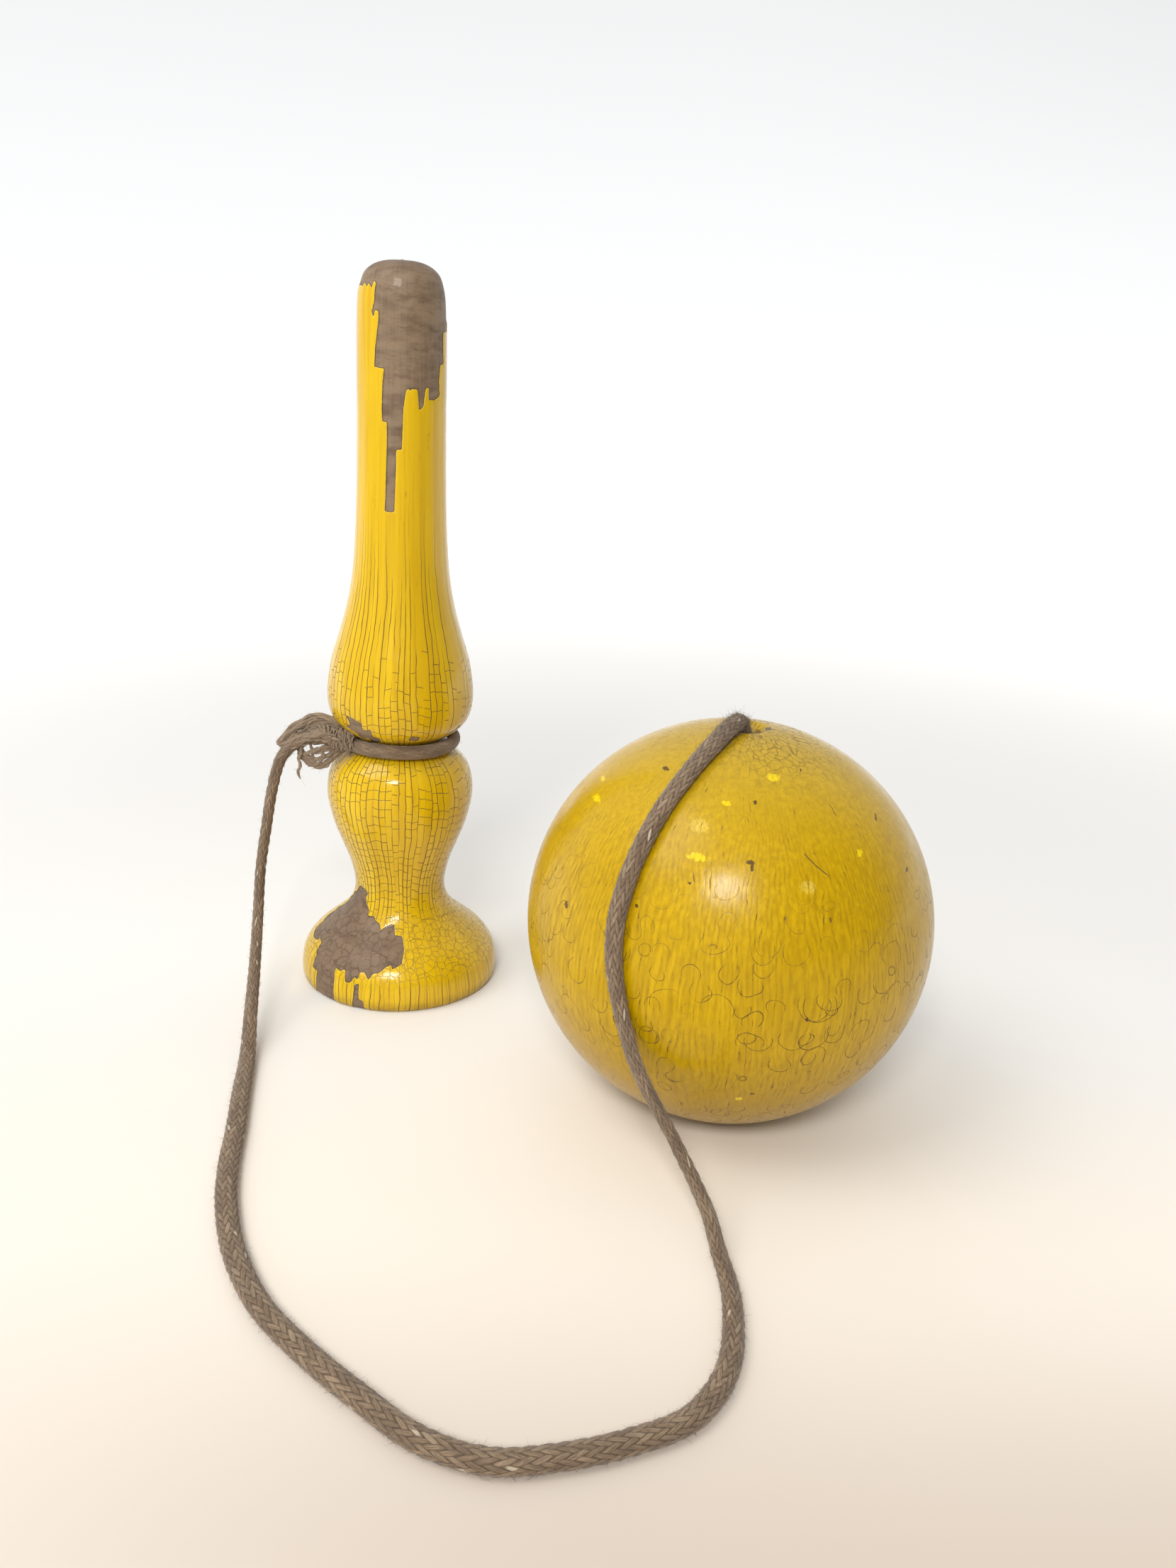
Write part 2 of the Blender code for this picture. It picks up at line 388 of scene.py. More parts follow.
# Outlines of the patches where the paint is gone from the handle: degrees round it from its front
# to its right, and millimetres along its outline from the middle of the crown.
CROWN_PATCH = (
    (-62, 11.6), (-56, 11.8), (-50, 11.0), (-45, 11.9), (-41, 11.2), (-35, 12.1), (-32, 10.7),
    (-28, 11.2), (-29, 12.6), (-29, 14.6), (-33, 16.7), (-30, 17.8), (-27, 16.3), (-22, 16.5),
    (-22, 18.4), (-24, 20.3), (-27, 24.0), (-28, 27.1), (-21, 27.3), (-14, 27.4), (-16, 30.3),
    (-17, 35.2), (-16, 37.7), (-10, 37.8), (-10, 42.8), (-11, 50.7), (-12, 55.8), (0, 55.9),
    (2, 46.7), (2, 43.2), (9, 43.1), (10, 38.8), (11, 35.0), (13, 32.3), (15, 31.2), (18, 31.0),
    (19, 31.8), (20, 31.1), (29, 31.1), (30, 33.0), (31, 35.2), (37, 34.5), (39, 32.1), (41, 30.7),
    (45, 30.7), (45, 33.1), (54, 33.2), (66, 32.3), (64, 29.8), (66, 26.3), (77, 25.9), (74, 23.3),
    (75, 19.8), (93, 19.6), (94, 17.5), (107, 17.8), (109, 23.0), (118, 23.2), (120, 18.7),
    (133, 18.4), (135, 14.8), (151, 15.2), (152, 20.5), (158, 20.7), (160, 26.5), (166, 26.6),
    (168, 17.7), (181, 17.4), (183, 13.4), (204, 13.8), (206, 17.1), (215, 17.3), (217, 12.3),
    (240, 12.6), (242, 10.4), (262, 10.8), (264, 13.3), (271, 13.2), (273, 11.4), (298, 11.6),
)
FOOT_PATCH = (
    (-49, 148.2), (-40, 148.7), (-37, 149.4), (-40, 150.5), (-37, 151.8), (-31, 152.7),
    (-30, 154.2), (-21, 154.0), (-19, 154.8), (-13, 155.4), (-10, 157.0), (-7, 156.1), (0, 155.2),
    (3, 155.4), (4, 157.8), (11, 158.2), (12, 161.6), (10, 165.0), (7, 165.7), (4, 166.3),
    (3, 165.2), (0, 165.8), (-4, 167.3), (-8, 167.5), (-9, 169.0), (-10, 168.9), (-13, 167.4),
    (-16, 167.7), (-16, 169.6), (-19, 168.7), (-20, 170.3), (-24, 170.7), (-26, 167.6),
    (-29, 168.6), (-33, 168.0), (-32, 170.8), (-32, 173.5), (-32, 178.0), (-50, 178.0),
    (-48, 174.7), (-48, 171.0), (-53, 170.8), (-54, 169.0), (-54, 167.9), (-57, 167.2),
    (-57, 166.3), (-58, 165.1), (-63, 164.6), (-65, 165.6), (-74, 166.2), (-83, 165.4),
    (-85, 163.0), (-92, 162.4), (-94, 158.1), (-88, 156.2), (-87, 153.4), (-78, 152.6),
    (-75, 151.0), (-69, 150.9), (-63, 150.0), (-58, 148.6),
)
FOOT_STRIP = (
    (-18, 170.5), (-18, 172.3), (-20, 178.0), (-10, 178.0), (-12, 175.7), (-12, 174.4),
    (-15, 173.9), (-15, 170.3),
)
GROOVE_CHIPS = (
    (
        (-39, 100.3), (-32, 100.6), (-28, 101.0), (-23, 101.5), (-24, 102.6), (-22, 103.3),
        (-16, 102.8), (-16, 105.3), (-10, 105.7), (-13, 108.5), (-26, 109.0), (-22, 106.3),
        (-34, 107.5), (-33, 105.2), (-42, 103.8), (-44, 103.2), (-36, 102.7), (-37, 101.4),
    ),
    ((20, 104.2), (22, 104.8), (26, 104.9), (26, 106.7), (15, 105.9), (18, 104.7)),
    ((70, 103.4), (65, 104.1), (60, 105.4), (59, 106.6), (68, 105.7), (73, 104.2)),
    ((121, 102.6), (129, 102.3), (131, 104.1), (139, 104.4), (138, 107.7), (124, 107.4)),
    ((186, 115.0), (193, 114.5), (196, 116.8), (203, 117.0), (201, 119.9), (188, 119.2)),
)
BACK_CHIPS = (
    ((150, 159.9), (158, 159.1), (163, 161.3), (171, 160.9), (173, 164.7), (160, 166.2), (151, 163.9)),
    ((228, 89.9), (231, 85.5), (234, 85.7), (235, 94.6), (232, 94.9), (231, 91.6)),
    ((96, 171.8), (104, 171.4), (106, 178.0), (95, 178.0)),
    ((196, 171.2), (203, 172.6), (214, 172.2), (213, 178.0), (194, 178.0)),
)


def full_crown_patch():
    """The crown's patch goes all the way round, so its edge is repeated past both ends."""
    edge = [*CROWN_PATCH]
    before = [(turn - 360, along) for turn, along in edge if turn > 200]
    return [(-160, -3), (-160, 10.0), *before[1:], *edge, (298.5, -3)]


def distance_inside(turn, along, radius, outline):
    """How far inside an outline each point is, in millimetres; negative outside it."""
    outline = np.array(outline, float)
    best = np.full(len(turn), 1e9)
    inside = np.zeros(len(turn), bool)
    per_degree = np.radians(1) * radius
    for (turn_a, along_a), (turn_b, along_b) in zip(outline, np.roll(outline, -1, 0)):
        across = (turn_b - turn_a) * per_degree
        down = along_b - along_a
        x = (turn - turn_a) * per_degree
        y = along - along_a
        share = np.clip((x * across + y * down) / np.maximum(across**2 + down**2, 1e-12), 0, 1)
        best = np.minimum(best, np.hypot(x - share * across, y - share * down))
        if along_a != along_b:
            crossing = turn_a + (along - along_a) / (along_b - along_a) * (turn_b - turn_a)
            inside ^= ((along_a > along) != (along_b > along)) & (turn < crossing)
    return np.where(inside, best, -best)


def bareness(turn, along, radius):
    """How far inside the nearest bare patch each point of the handle is, in millimetres."""
    best = np.full(len(turn), -5.0)
    patches = [full_crown_patch(), FOOT_PATCH, FOOT_STRIP, *GROOVE_CHIPS, *BACK_CHIPS]
    for patch in patches:
        for shift in (-360, 0, 360):
            turns = np.array(patch, float)[:, 0] + shift
            if turns.max() > -185 and turns.min() < 185:
                moved = np.stack([turns, np.array(patch, float)[:, 1]], 1)
                near = (turn > turns.min() - 30) & (turn < turns.max() + 30)
                found = distance_inside(turn[near], along[near], radius[near], moved)
                best[near] = np.maximum(best[near], found)
    return np.clip(best, -5, 5)


def handle_profile():
    """The CAD handle's outline, from the crown down to the foot ring and in to the dish's middle."""
    points = np.array([v.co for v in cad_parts["handle"].data.vertices])
    radius = np.hypot(points[:, 0] - HANDLE_AT.x, points[:, 1] - HANDLE_AT.y)
    rings = np.unique(np.round(np.stack([radius, points[:, 2]], 1), 5), axis=0)
    dish = (rings[:, 0] < 0.0210) & (rings[:, 1] < 0.006)
    outer = rings[~dish]
    inner = rings[dish]
    outer = outer[np.argsort(-outer[:, 1])]
    inner = inner[np.argsort(-inner[:, 0])]
    return outer, inner


HANDLE_OUTER, HANDLE_DISH = handle_profile()


def handle_outline():
    """The outline from the crown down and in under the foot, and how many of its points are outside."""
    shaped = evenly(curve_through(HANDLE_OUTER, 16), HANDLE_STEP)
    under = at_lengths(HANDLE_DISH, np.linspace(0, distances(HANDLE_DISH)[-1], 24))
    return np.vstack([shaped, under]), len(shaped)


def turned_waves(angle, along):
    """Slow waves round and along the turned wood."""
    waves = np.random.default_rng(SEED).normal(0, 1, (3, 3))
    return sum(
        waves[k, 0] * np.cos((k + 2) * angle + waves[k, 1] + along * 0.05 * (k + 1)) for k in range(3)
    )


def closed_turning(grid):
    """The points and faces of a turned body. Its first and last rings are single points."""
    body = grid[1:-1].reshape(-1, 3)
    crown = len(body)
    faces = ring_faces(len(grid) - 2, HANDLE_AROUND)
    last = (len(grid) - 3) * HANDLE_AROUND
    for i in range(HANDLE_AROUND):
        j = (i + 1) % HANDLE_AROUND
        faces.append([crown, j, i])
        faces.append([crown + 1, last + i, last + j])
    return np.vstack([body, grid[0, :1], grid[-1, :1]]), [face[::-1] for face in faces]


def build_handle(finish):
    outline, outside = handle_outline()
    along = distances(outline) / MM
    slope = unit(np.gradient(outline, axis=0))
    out = np.stack([-slope[:, 1], slope[:, 0]], 1)
    turn_grid, along_grid = np.meshgrid(np.linspace(-180, 180, HANDLE_AROUND, endpoint=False), along)
    angle = np.radians(turn_grid)
    girth = np.repeat(outline[:, :1], HANDLE_AROUND, 1) / MM
    bare = bareness(turn_grid.ravel(), along_grid.ravel(), girth.ravel()).reshape(turn_grid.shape)
    is_outer = (np.arange(len(outline)) < outside)[:, None]
    offset = -PAINT_THICKNESS * smooth_step(bare, -0.12, 0.12) * is_outer
    offset = offset + turned_waves(angle, along_grid) * HANDLE_WOBBLE * is_outer
    radius = outline[:, :1] + out[:, :1] * offset
    height = outline[:, 1:] + out[:, 1:] * offset
    radius[[0, -1]] = 0
    grid = np.stack(
        [HANDLE_AT.x + radius * np.sin(angle), HANDLE_AT.y - radius * np.cos(angle), height], -1
    )
    piece = mesh_object("handle_painted", *closed_turning(grid), finish)
    lay = np.stack([CRACK_RING_MM * np.sin(angle), -CRACK_RING_MM * np.cos(angle), along_grid], -1)
    save_attribute(piece, "lay", np.vstack([lay[1:-1].reshape(-1, 3), [[0, 0, 0], [0, 0, along[-1]]]]))
    bare = np.where(is_outer, bare, -5.0)
    save_attribute(piece, "bare", np.concatenate([bare[1:-1].ravel(), [5.0, -5.0]]))
    save_attribute(piece, "girth", np.concatenate([girth[1:-1].ravel(), [0.01, 0.01]]))
    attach(piece, "handle")
    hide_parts("handle")


BALL_AROUND = 288


def ball_outline():
    """The closed outline round the ball's wall, about the ball's own centre, and what each ring is."""
    start = math.acos(MOUTH_R / BALL_R)
    end = -math.acos(BALL_RIM_R / BALL_R)
    turns = np.linspace(start, end, 240)
    outside = np.stack([BALL_R * np.cos(turns), BALL_R * np.sin(turns)], 1)
    roof = CATCH_DEPTH - BALL_Z
    catch = np.array(
        [
            (CATCH_R + 1.4 * CATCH_CHAMFER, -BALL_Z + 0.00002),
            (CATCH_R + 0.4 * CATCH_CHAMFER, -BALL_Z + 0.3 * CATCH_CHAMFER),
            (CATCH_R, -BALL_Z + 1.4 * CATCH_CHAMFER),
            *[(CATCH_R, -BALL_Z + 0.0015 + 0.0034 * i) for i in range(12)],
            (CATCH_R, roof - 0.0024),
            (CATCH_R - 0.0007, roof - 0.0008),
            (CATCH_R - 0.0023, roof),
            (CATCH_R - 0.006, roof),
            (CORD_HOLE_R + 0.0003, roof),
            (CORD_HOLE_R, roof + 0.0003),
            *[(CORD_HOLE_R, roof + 0.0003 + 0.0028 * i) for i in range(1, 9)],
        ]
    )
    top = math.sqrt(BALL_R**2 - MOUTH_R**2)
    lift = np.radians(np.linspace(0, 86, 12))
    mouth = np.stack(
        [MOUTH_R - (MOUTH_R - CORD_HOLE_R) * np.cos(lift), top - MOUTH_DEPTH * (1 - np.sin(lift))], 1
    )
    return np.vstack([outside, catch, mouth]), len(outside)


def build_ball(finish):
    outline, outer_rings = ball_outline()
    turn = np.linspace(-math.pi, math.pi, BALL_AROUND, endpoint=False)
    radius = np.repeat(outline[:, :1], BALL_AROUND, 1)
    height = np.repeat(outline[:, 1:], BALL_AROUND, 1)
    local = np.stack([radius * np.sin(turn), -radius * np.cos(turn), height], -1)
    faces = [face[::-1] for face in ring_faces(len(outline), BALL_AROUND, closed=True)]
    piece = mesh_object("ball_painted", local.reshape(-1, 3) + BALL_CENTRE, faces, finish)
    save_attribute(piece, "lay", local.reshape(-1, 3) / MM)
    unpainted = (np.arange(len(outline)) >= outer_rings) & (outline[:, 1] < 0.034)
    inner = np.repeat(unpainted[:, None], BALL_AROUND, 1)
    save_attribute(piece, "inside", inner.astype(float).ravel())
    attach(piece, "ball")
    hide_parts("ball")


# ---------------------------------------------------------------- braided cord

STRANDS = 12  # strands in each of the braid's two directions
BRAID_PITCH = 0.0024
BRAID_SIDES = 60
BRAID_STEP = 0.00028
BRAID_RELIEF = 0.00026
LOOP_RELIEF = 0.00006  # the loop in the groove is worn smooth


def braid_height(around, along):
    """The braid's relief, 0 to 1. Each strand passes over two and under two of the others."""
    one, other = around + along, around - along
    one_index, other_index = np.floor(one), np.floor(other)
    state = (one_index + other_index) % 4
    one_part, other_part = one - one_index, other - other_index
    first = np.sin(np.pi * one_part) * (0.4 + 0.6 * np.sin(np.pi * (state + other_part) / 2))
    second = np.sin(np.pi * other_part) * (0.4 + 0.6 * np.sin(np.pi * (state - 2 + one_part) / 2))
    return np.where(state < 2, first, second)


def frames_along(line, normals):
    """The tangent, and the two axes of the section, at each point of a line."""
    tangent = unit(np.gradient(line, axis=0))
    normal = unit(normals - (normals * tangent).sum(1, keepdims=True) * tangent)
    return tangent, np.cross(tangent, normal), normal


def tube_points(line, wide, thin, half_wide, half_thin, angles):
    across = np.cos(angles)[None, :, None] * wide[:, None] * half_wide[:, None, None]
    up = np.sin(angles)[None, :, None] * thin[:, None] * half_thin[:, None, None]
    return line[:, None] + across + up


def add_tube_ends(faces, rings, sides, start=0):
    faces.append(list(range(start, start + sides))[::-1])
    faces.append(list(range(start + (rings - 1) * sides, start + rings * sides)))


def braided(name, line, normals, half_wide, half_thin, finish, relief=BRAID_RELIEF):
    """A braided tube, with the braid's relief in its mesh and its pattern's place in a UV map."""
    _, wide, thin = frames_along(line, normals)
    angles = np.arange(BRAID_SIDES) / BRAID_SIDES * 2 * np.pi
    along = distances(line)
    smooth = tube_points(line, wide, thin, half_wide, half_thin, angles)
    around = np.arange(BRAID_SIDES) / BRAID_SIDES * STRANDS
    height = braid_height(around[None, :], along[:, None] / BRAID_PITCH)
    outward = unit(smooth - line[:, None])
    points = smooth + outward * ((height - 0.75) * np.reshape(relief, (-1, 1)))[..., None]
    faces = ring_faces(len(line), BRAID_SIDES)
    add_tube_ends(faces, len(line), BRAID_SIDES)
    piece = mesh_object(name, points.reshape(-1, 3), faces, finish)
    across = np.arange(BRAID_SIDES)
    corner_u = np.stack([across, across + 1, across + 1, across], 1) / BRAID_SIDES * STRANDS
    rows = along / BRAID_PITCH
    corner_v = np.stack([rows[:-1], rows[:-1], rows[1:], rows[1:]], 1)
    u = np.broadcast_to(corner_u[None], (len(line) - 1, BRAID_SIDES, 4))
    v = np.broadcast_to(corner_v[:, None], (len(line) - 1, BRAID_SIDES, 4))
    layer = piece.data.uv_layers.new(name="braid")
    flat = np.stack([u, v], -1).reshape(-1, 2)
    ends = np.zeros((2 * BRAID_SIDES, 2))
    layer.data.foreach_set("uv", np.vstack([flat, ends]).astype(np.float32).ravel())
    return piece


def table_along(rows, route_lengths, lengths):
    """Values given at points of the route, interpolated smoothly along the line."""
    places = np.array([route_lengths[int(row[0])] for row in rows])
    values = np.array([row[1:] for row in rows], float)
    found = np.stack([np.interp(lengths, places, values[:, k]) for k in range(values.shape[1])], 1)
    window = 41
    kernel = np.hanning(window)
    kernel /= kernel.sum()
    padded = np.pad(found, ((window // 2, window // 2), (0, 0)), mode="edge")
    return np.stack([np.convolve(padded[:, k], kernel, "valid") for k in range(found.shape[1])], 1)


# The braid is flattened. At these points of the route: half its width and half its thickness in
# millimetres, and the direction that its thickness lies in.
SECTIONS = (
    (0, 1.45, 1.30, -0.60, -0.50, 0.60),
    (3, 1.60, 1.25, -0.90, -0.30, 0.30),
    (6, 1.60, 1.15, -0.95, -0.30, 0.10),
    (9, 1.65, 1.20, -0.60, 0.00, 0.80),
    (11, 1.85, 1.35, 0.00, 0.00, 1.00),
    (15, 1.95, 1.45, 0.00, 0.00, 1.00),
    (20, 2.00, 1.55, 0.00, 0.00, 1.00),
    (23, 1.90, 1.50, 0.10, 0.00, 1.00),
    (26, 1.75, 1.30, 0.60, 0.20, 0.80),
    (28, 1.55, 1.15, 0.86, 0.20, 0.45),
    (30, 1.60, 1.20, 0.80, 0.60, 0.00),
    (32, 1.75, 1.30, 0.56, 0.80, -0.20),
    (35, 1.75, 1.30, 0.36, 0.52, -0.78),
    (38, 1.90, 1.35, 0.10, 0.20, -0.98),
    (40, 1.80, 1.45, -0.30, -0.60, -0.70),
    (42, 1.60, 1.50, -0.60, -0.80, -0.10),
    (45, 1.60, 1.55, -0.60, -0.80, 0.00),
)
FLOOR_CLEARANCE = 0.00010
BALL_CLEARANCE = 0.00008
LAID_ON_FLOOR = (0.0060, 0.0022)  # heights from which the cord starts to lie, and lies, on the floor
LAID_ON_BALL = (0.0445, 0.0427)  # the same for the ball, by the distance from its middle
INSIDE_BALL = 0.0405
ON_FLOOR_Z = 0.004
MOUTH_RIM_Z = 0.0775
HOLE_REACH = 0.009
RUBBED_FLAT = 0.75  # the share of the braid's relief that is rubbed away at the ball's hole


def free_cord_line():
    """The cord's middle line, resting on the floor and on the ball, with its section along it."""
    route = np.array(HITCH_ROUTE + SLACK_ROUTE + BALL_ROUTE) + np.array(HANDLE_AT)
    fine = curve_through(route, 24)
    route_lengths = distances(fine)[::24][len(HITCH_ROUTE) :]
    lengths = np.arange(0, distances(fine)[-1], BRAID_STEP)
    line = at_lengths(fine, lengths)
    section = table_along(SECTIONS, route_lengths, lengths)
    half_thin = section[:, 1] * MM
    low = smooth_step(line[:, 2], *LAID_ON_FLOOR)
    line[:, 2] += low * (half_thin + FLOOR_CLEARANCE - line[:, 2])
    away = line - BALL_CENTRE
    distance = np.linalg.norm(away, axis=1)
    wanted = BALL_R + half_thin + BALL_CLEARANCE
    touching = smooth_step(distance, *LAID_ON_BALL) * (distance > INSIDE_BALL)
    touching = touching * smooth_step(away[:, 2], -0.012, 0.0)
    line += unit(away) * (touching * (wanted - distance))[:, None]
    return line, section


def blend_by_length(piece, lengths, start, end):
    """Bakes the piece's transform into its mesh."""
    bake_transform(piece)


def near_hole(line, lengths):
    """1 where the cord goes into the ball, falling to 0 on both sides of it."""
    entry = np.flatnonzero(line[:, 2] > MOUTH_RIM_Z)[-1]
    return np.exp(-(((lengths - lengths[entry]) / HOLE_REACH) ** 2))


def build_free_cord(finish):
    line, section = free_cord_line()
    lengths = distances(line)
    half_wide, half_thin = section[:, 0] * MM, section[:, 1] * MM
    relief = BRAID_RELIEF * (1 - RUBBED_FLAT * near_hole(line, lengths))
    piece = braided("cord_braid", line, section[:, 2:], half_wide, half_thin, finish, relief)
    blend_by_length(piece, np.repeat(lengths, BRAID_SIDES), *cord_bend(line, lengths))
    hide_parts("cord_slack", "cord_to_ball")
    return piece, line, section


def cord_bend(line, lengths):
    """The lengths between which the cord goes from the handle's side to the ball's."""
    on_floor = np.flatnonzero(line[:, 2] < ON_FLOOR_Z)
    return lengths[on_floor[0]] + 0.03, lengths[on_floor[-1]] + 0.02


def build_neck_loop(finish):
    steps = 280
    start = math.radians(KNOT_TURN + LOOP_GAP_DEG - 4)
    sweep = math.radians(360 - 2 * LOOP_GAP_DEG + 8)
    turn = start + sweep * np.linspace(0, 1, steps)
    out = np.stack([np.cos(turn), np.sin(turn), np.zeros(steps)], 1)
    line = np.array(HANDLE_AT) + (0, 0, GROOVE_Z) + out * LOOP_R
    line[:, 2] += 0.00012 * np.sin(3 * turn + 1)
    size = np.ones(steps)
    piece = braided("cord_loop_braid", line, out, size * 0.00155, size * 0.00138, finish, LOOP_RELIEF)
    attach(piece, "cord")
    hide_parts("cord_neck_loop")


# ---------------------------------------------------------------- loose yarns and fuzz

# Middle lines of the hitch's loose yarns: millimetres from the handle's axis at the ground.
CORE_MM = (
    (-8.6, -8.3, 59.2), (-11.0, -8.3, 59.5), (-13.8, -8.1, 59.7), (-16.4, -7.9, 59.9), (-18.4, -7.7, 59.5),
)
UPPER_OUT_MM = (
    (-11.3, -7.0, 59.4), (-12.0, -6.8, 61.2), (-13.4, -6.6, 63.2), (-15.5, -6.2, 64.1), (-17.7, -5.8, 64.3),
    (-20.0, -5.4, 63.3), (-22.5, -5.2, 61.8), (-24.6, -5.2, 59.9), (-26.1, -5.5, 58.3), (-26.6, -5.8, 57.4),
)
UPPER_MID_MM = (
    (-11.6, -7.4, 59.4), (-12.5, -7.2, 61.4), (-14.8, -6.9, 63.4), (-17.0, -6.6, 63.6), (-19.6, -6.4, 62.8),
    (-21.9, -6.2, 61.3), (-23.7, -6.2, 59.9), (-25.3, -6.4, 58.3), (-26.3, -6.4, 57.5),
)
UPPER_IN_MM = (
    (-11.6, -7.2, 59.4), (-12.7, -7.0, 61.2), (-14.5, -6.6, 62.3), (-16.8, -6.4, 62.5), (-18.9, -6.2, 62.1),
    (-21.0, -6.0, 61.2), (-23.0, -6.0, 60.1), (-24.9, -6.2, 59.2), (-26.0, -6.4, 57.9),
)
UPPER_BACK_MM = (
    (-26.6, -5.9, 57.4), (-25.5, -6.3, 57.2), (-23.8, -7.3, 58.2), (-21.2, -8.3, 59.5), (-18.5, -9.2, 60.5),
    (-15.6, -9.9, 61.0), (-12.8, -10.2, 60.6),
)
LOWER_OUT_MM = (
    (-11.1, -8.2, 57.8), (-12.5, -8.6, 56.2), (-13.9, -8.8, 54.7), (-15.5, -8.8, 53.3), (-17.2, -8.6, 52.7),
    (-19.1, -8.2, 53.2), (-20.6, -7.8, 54.5), (-21.7, -7.4, 55.7), (-22.3, -7.1, 56.9),
)
LOWER_MID_MM = (
    (-11.4, -8.4, 57.9), (-13.1, -8.8, 56.6), (-14.5, -9.0, 55.2), (-16.1, -9.0, 54.1), (-17.8, -8.6, 53.9),
    (-19.3, -8.2, 54.9), (-20.3, -7.9, 55.9), (-21.2, -7.5, 57.2),
)
LOWER_IN_MM = (
    (-11.6, -8.8, 57.9), (-13.5, -9.1, 57.1), (-15.1, -9.3, 56.0), (-16.4, -9.2, 55.1), (-17.9, -8.7, 55.2),
    (-18.6, -8.4, 56.5), (-18.8, -8.0, 59.2),
)
UPPER_LOW_MM = (
    (-11.8, -7.6, 59.6), (-13.2, -7.3, 61.0), (-15.4, -7.2, 61.6), (-17.6, -7.0, 61.3), (-19.8, -6.8, 60.5),
    (-21.9, -6.6, 59.5), (-24.0, -6.6, 58.4), (-25.7, -6.6, 57.5),
)
OVER_MM = (
    (-11.6, -10.3, 60.2), (-14.4, -10.4, 60.1), (-17.4, -9.9, 59.8), (-20.4, -9.2, 58.9),
    (-23.2, -8.2, 57.3),
)
LOWER_FILL_MM = (
    (-11.9, -9.2, 58.4), (-14.2, -9.4, 58.2), (-16.4, -9.3, 57.7), (-18.6, -8.8, 56.8), (-20.4, -8.2, 55.8),
    (-21.7, -7.6, 55.9),
)
LOWER_CROSS_MM = (
    (-15.0, -9.3, 58.2), (-16.0, -9.5, 56.8), (-15.5, -9.5, 55.9), (-16.4, -9.3, 54.6), (-17.8, -9.0, 53.6),
    (-19.2, -8.6, 53.6),
)
TAIL_MM = (
    (-19.8, -8.0, 58.4), (-20.9, -8.3, 56.9), (-21.3, -8.5, 55.2), (-21.3, -8.6, 53.6), (-21.5, -8.6, 51.9),
    (-21.5, -8.5, 50.1),
)
STOP_KNOT_MM = (
    (0.0, 0.0, 4.1), (0.5, 0.2, 3.0), (1.9, 1.0, 1.9), (0.5, 2.3, 0.9), (-1.8, 1.5, 0.1), (-2.2, -0.9, -0.6),
    (-0.2, -2.3, -1.2), (2.1, -0.9, -0.9), (1.4, 1.5, -1.8), (-0.7, 1.0, -2.9), (-0.2, 0.1, -4.2),
    (0.3, -0.2, -6.2), (0.1, 0.1, -8.2),
)
COLLAR_TURNS = 44
FUZZ_COUNT = 8400
FIBRE_POINTS = 4
HITCH_FUZZ_EACH = 26  # loose fibres on each of the hitch's yarns
KNOT_MIDDLE_Z = CATCH_DEPTH - 0.0003 - 0.0040
YARN_SIDES = 8
YARN_TWIST = 1.6  # radians of fibre turn in each millimetre


def yarn_frame(line):
    """Two axes square to a line at each of its points."""
    tangent = unit(np.gradient(line, axis=0))
    away = np.eye(3)[np.abs(tangent).max(0).argmin()]
    side = unit(np.cross(tangent, away))
    return side, np.cross(tangent, side)


def yarns_object(name, yarns, finish, sides=YARN_SIDES):
    """Yarns, each a middle line with its radius at every point, as closed tubes in one mesh."""
    angles = np.arange(sides) / sides * 2 * np.pi
    points, faces, fibres = [], [], []
    count = 0
    for number, (line, radius) in enumerate(yarns):
        side, up = yarn_frame(line)
        ring = np.cos(angles)[None, :, None] * side[:, None] + np.sin(angles)[None, :, None] * up[:, None]
        points.append((line[:, None] + ring * radius[:, None, None]).reshape(-1, 3))
        faces += ring_faces(len(line), sides, start=count)
        add_tube_ends(faces, len(line), sides, start=count)
        along = distances(line)[:, None] / MM
        turn = angles[None, :] + along * YARN_TWIST
        lay = np.stack([np.cos(turn) + number * 7.3, np.sin(turn), along + 0 * turn], -1)
        fibres.append(lay.reshape(-1, 3))
        count += len(line) * sides
    piece = mesh_object(name, np.vstack(points), faces, finish)
    save_attribute(piece, "fibre", np.vstack(fibres))
    return piece


def route_mm(points, count):
    """A smooth line through points given in millimetres from the handle's axis."""
    line = curve_through(np.array(points) * MM + np.array(HANDLE_AT), 12)
    return at_lengths(line, np.linspace(0, distances(line)[-1], count))


def wandering(line, rng, reach):
    """The line, pushed aside by a few slow random waves."""
    share = np.linspace(0, 1, len(line))[:, None]
    moved = line.copy()
    for waves in (1.3, 2.9, 6.1):
        phase = rng.uniform(0, 2 * np.pi, 3)
        moved += rng.normal(0, reach / waves**0.5, 3) * np.sin(2 * np.pi * waves * share + phase)
    return moved


def clear_of_handle(line, gap):
    """The line, moved outwards where it would be inside the handle."""
    rising = HANDLE_OUTER[::-1]
    allowed = np.interp(line[:, 2], rising[:, 1], rising[:, 0]) + gap
    offset = line[:, :2] - np.array(HANDLE_AT)[:2]
    radius = np.linalg.norm(offset, axis=1)
    moved = line.copy()
    moved[:, :2] += offset * np.maximum(allowed / radius - 1, 0)[:, None]
    return moved


def yarn_radius(count, thick, rng, tip=0.5):
    """A yarn's radius along it: uneven, and thinner at both ends."""
    share = np.linspace(0, 1, count)
    uneven = 1 + 0.12 * np.sin(2 * np.pi * (rng.uniform(2, 5) * share + rng.uniform()))
    ends = smooth_step(share, 0, 0.08) * smooth_step(share, 1, 0.90)
    return thick * uneven * (tip + (1 - tip) * ends)


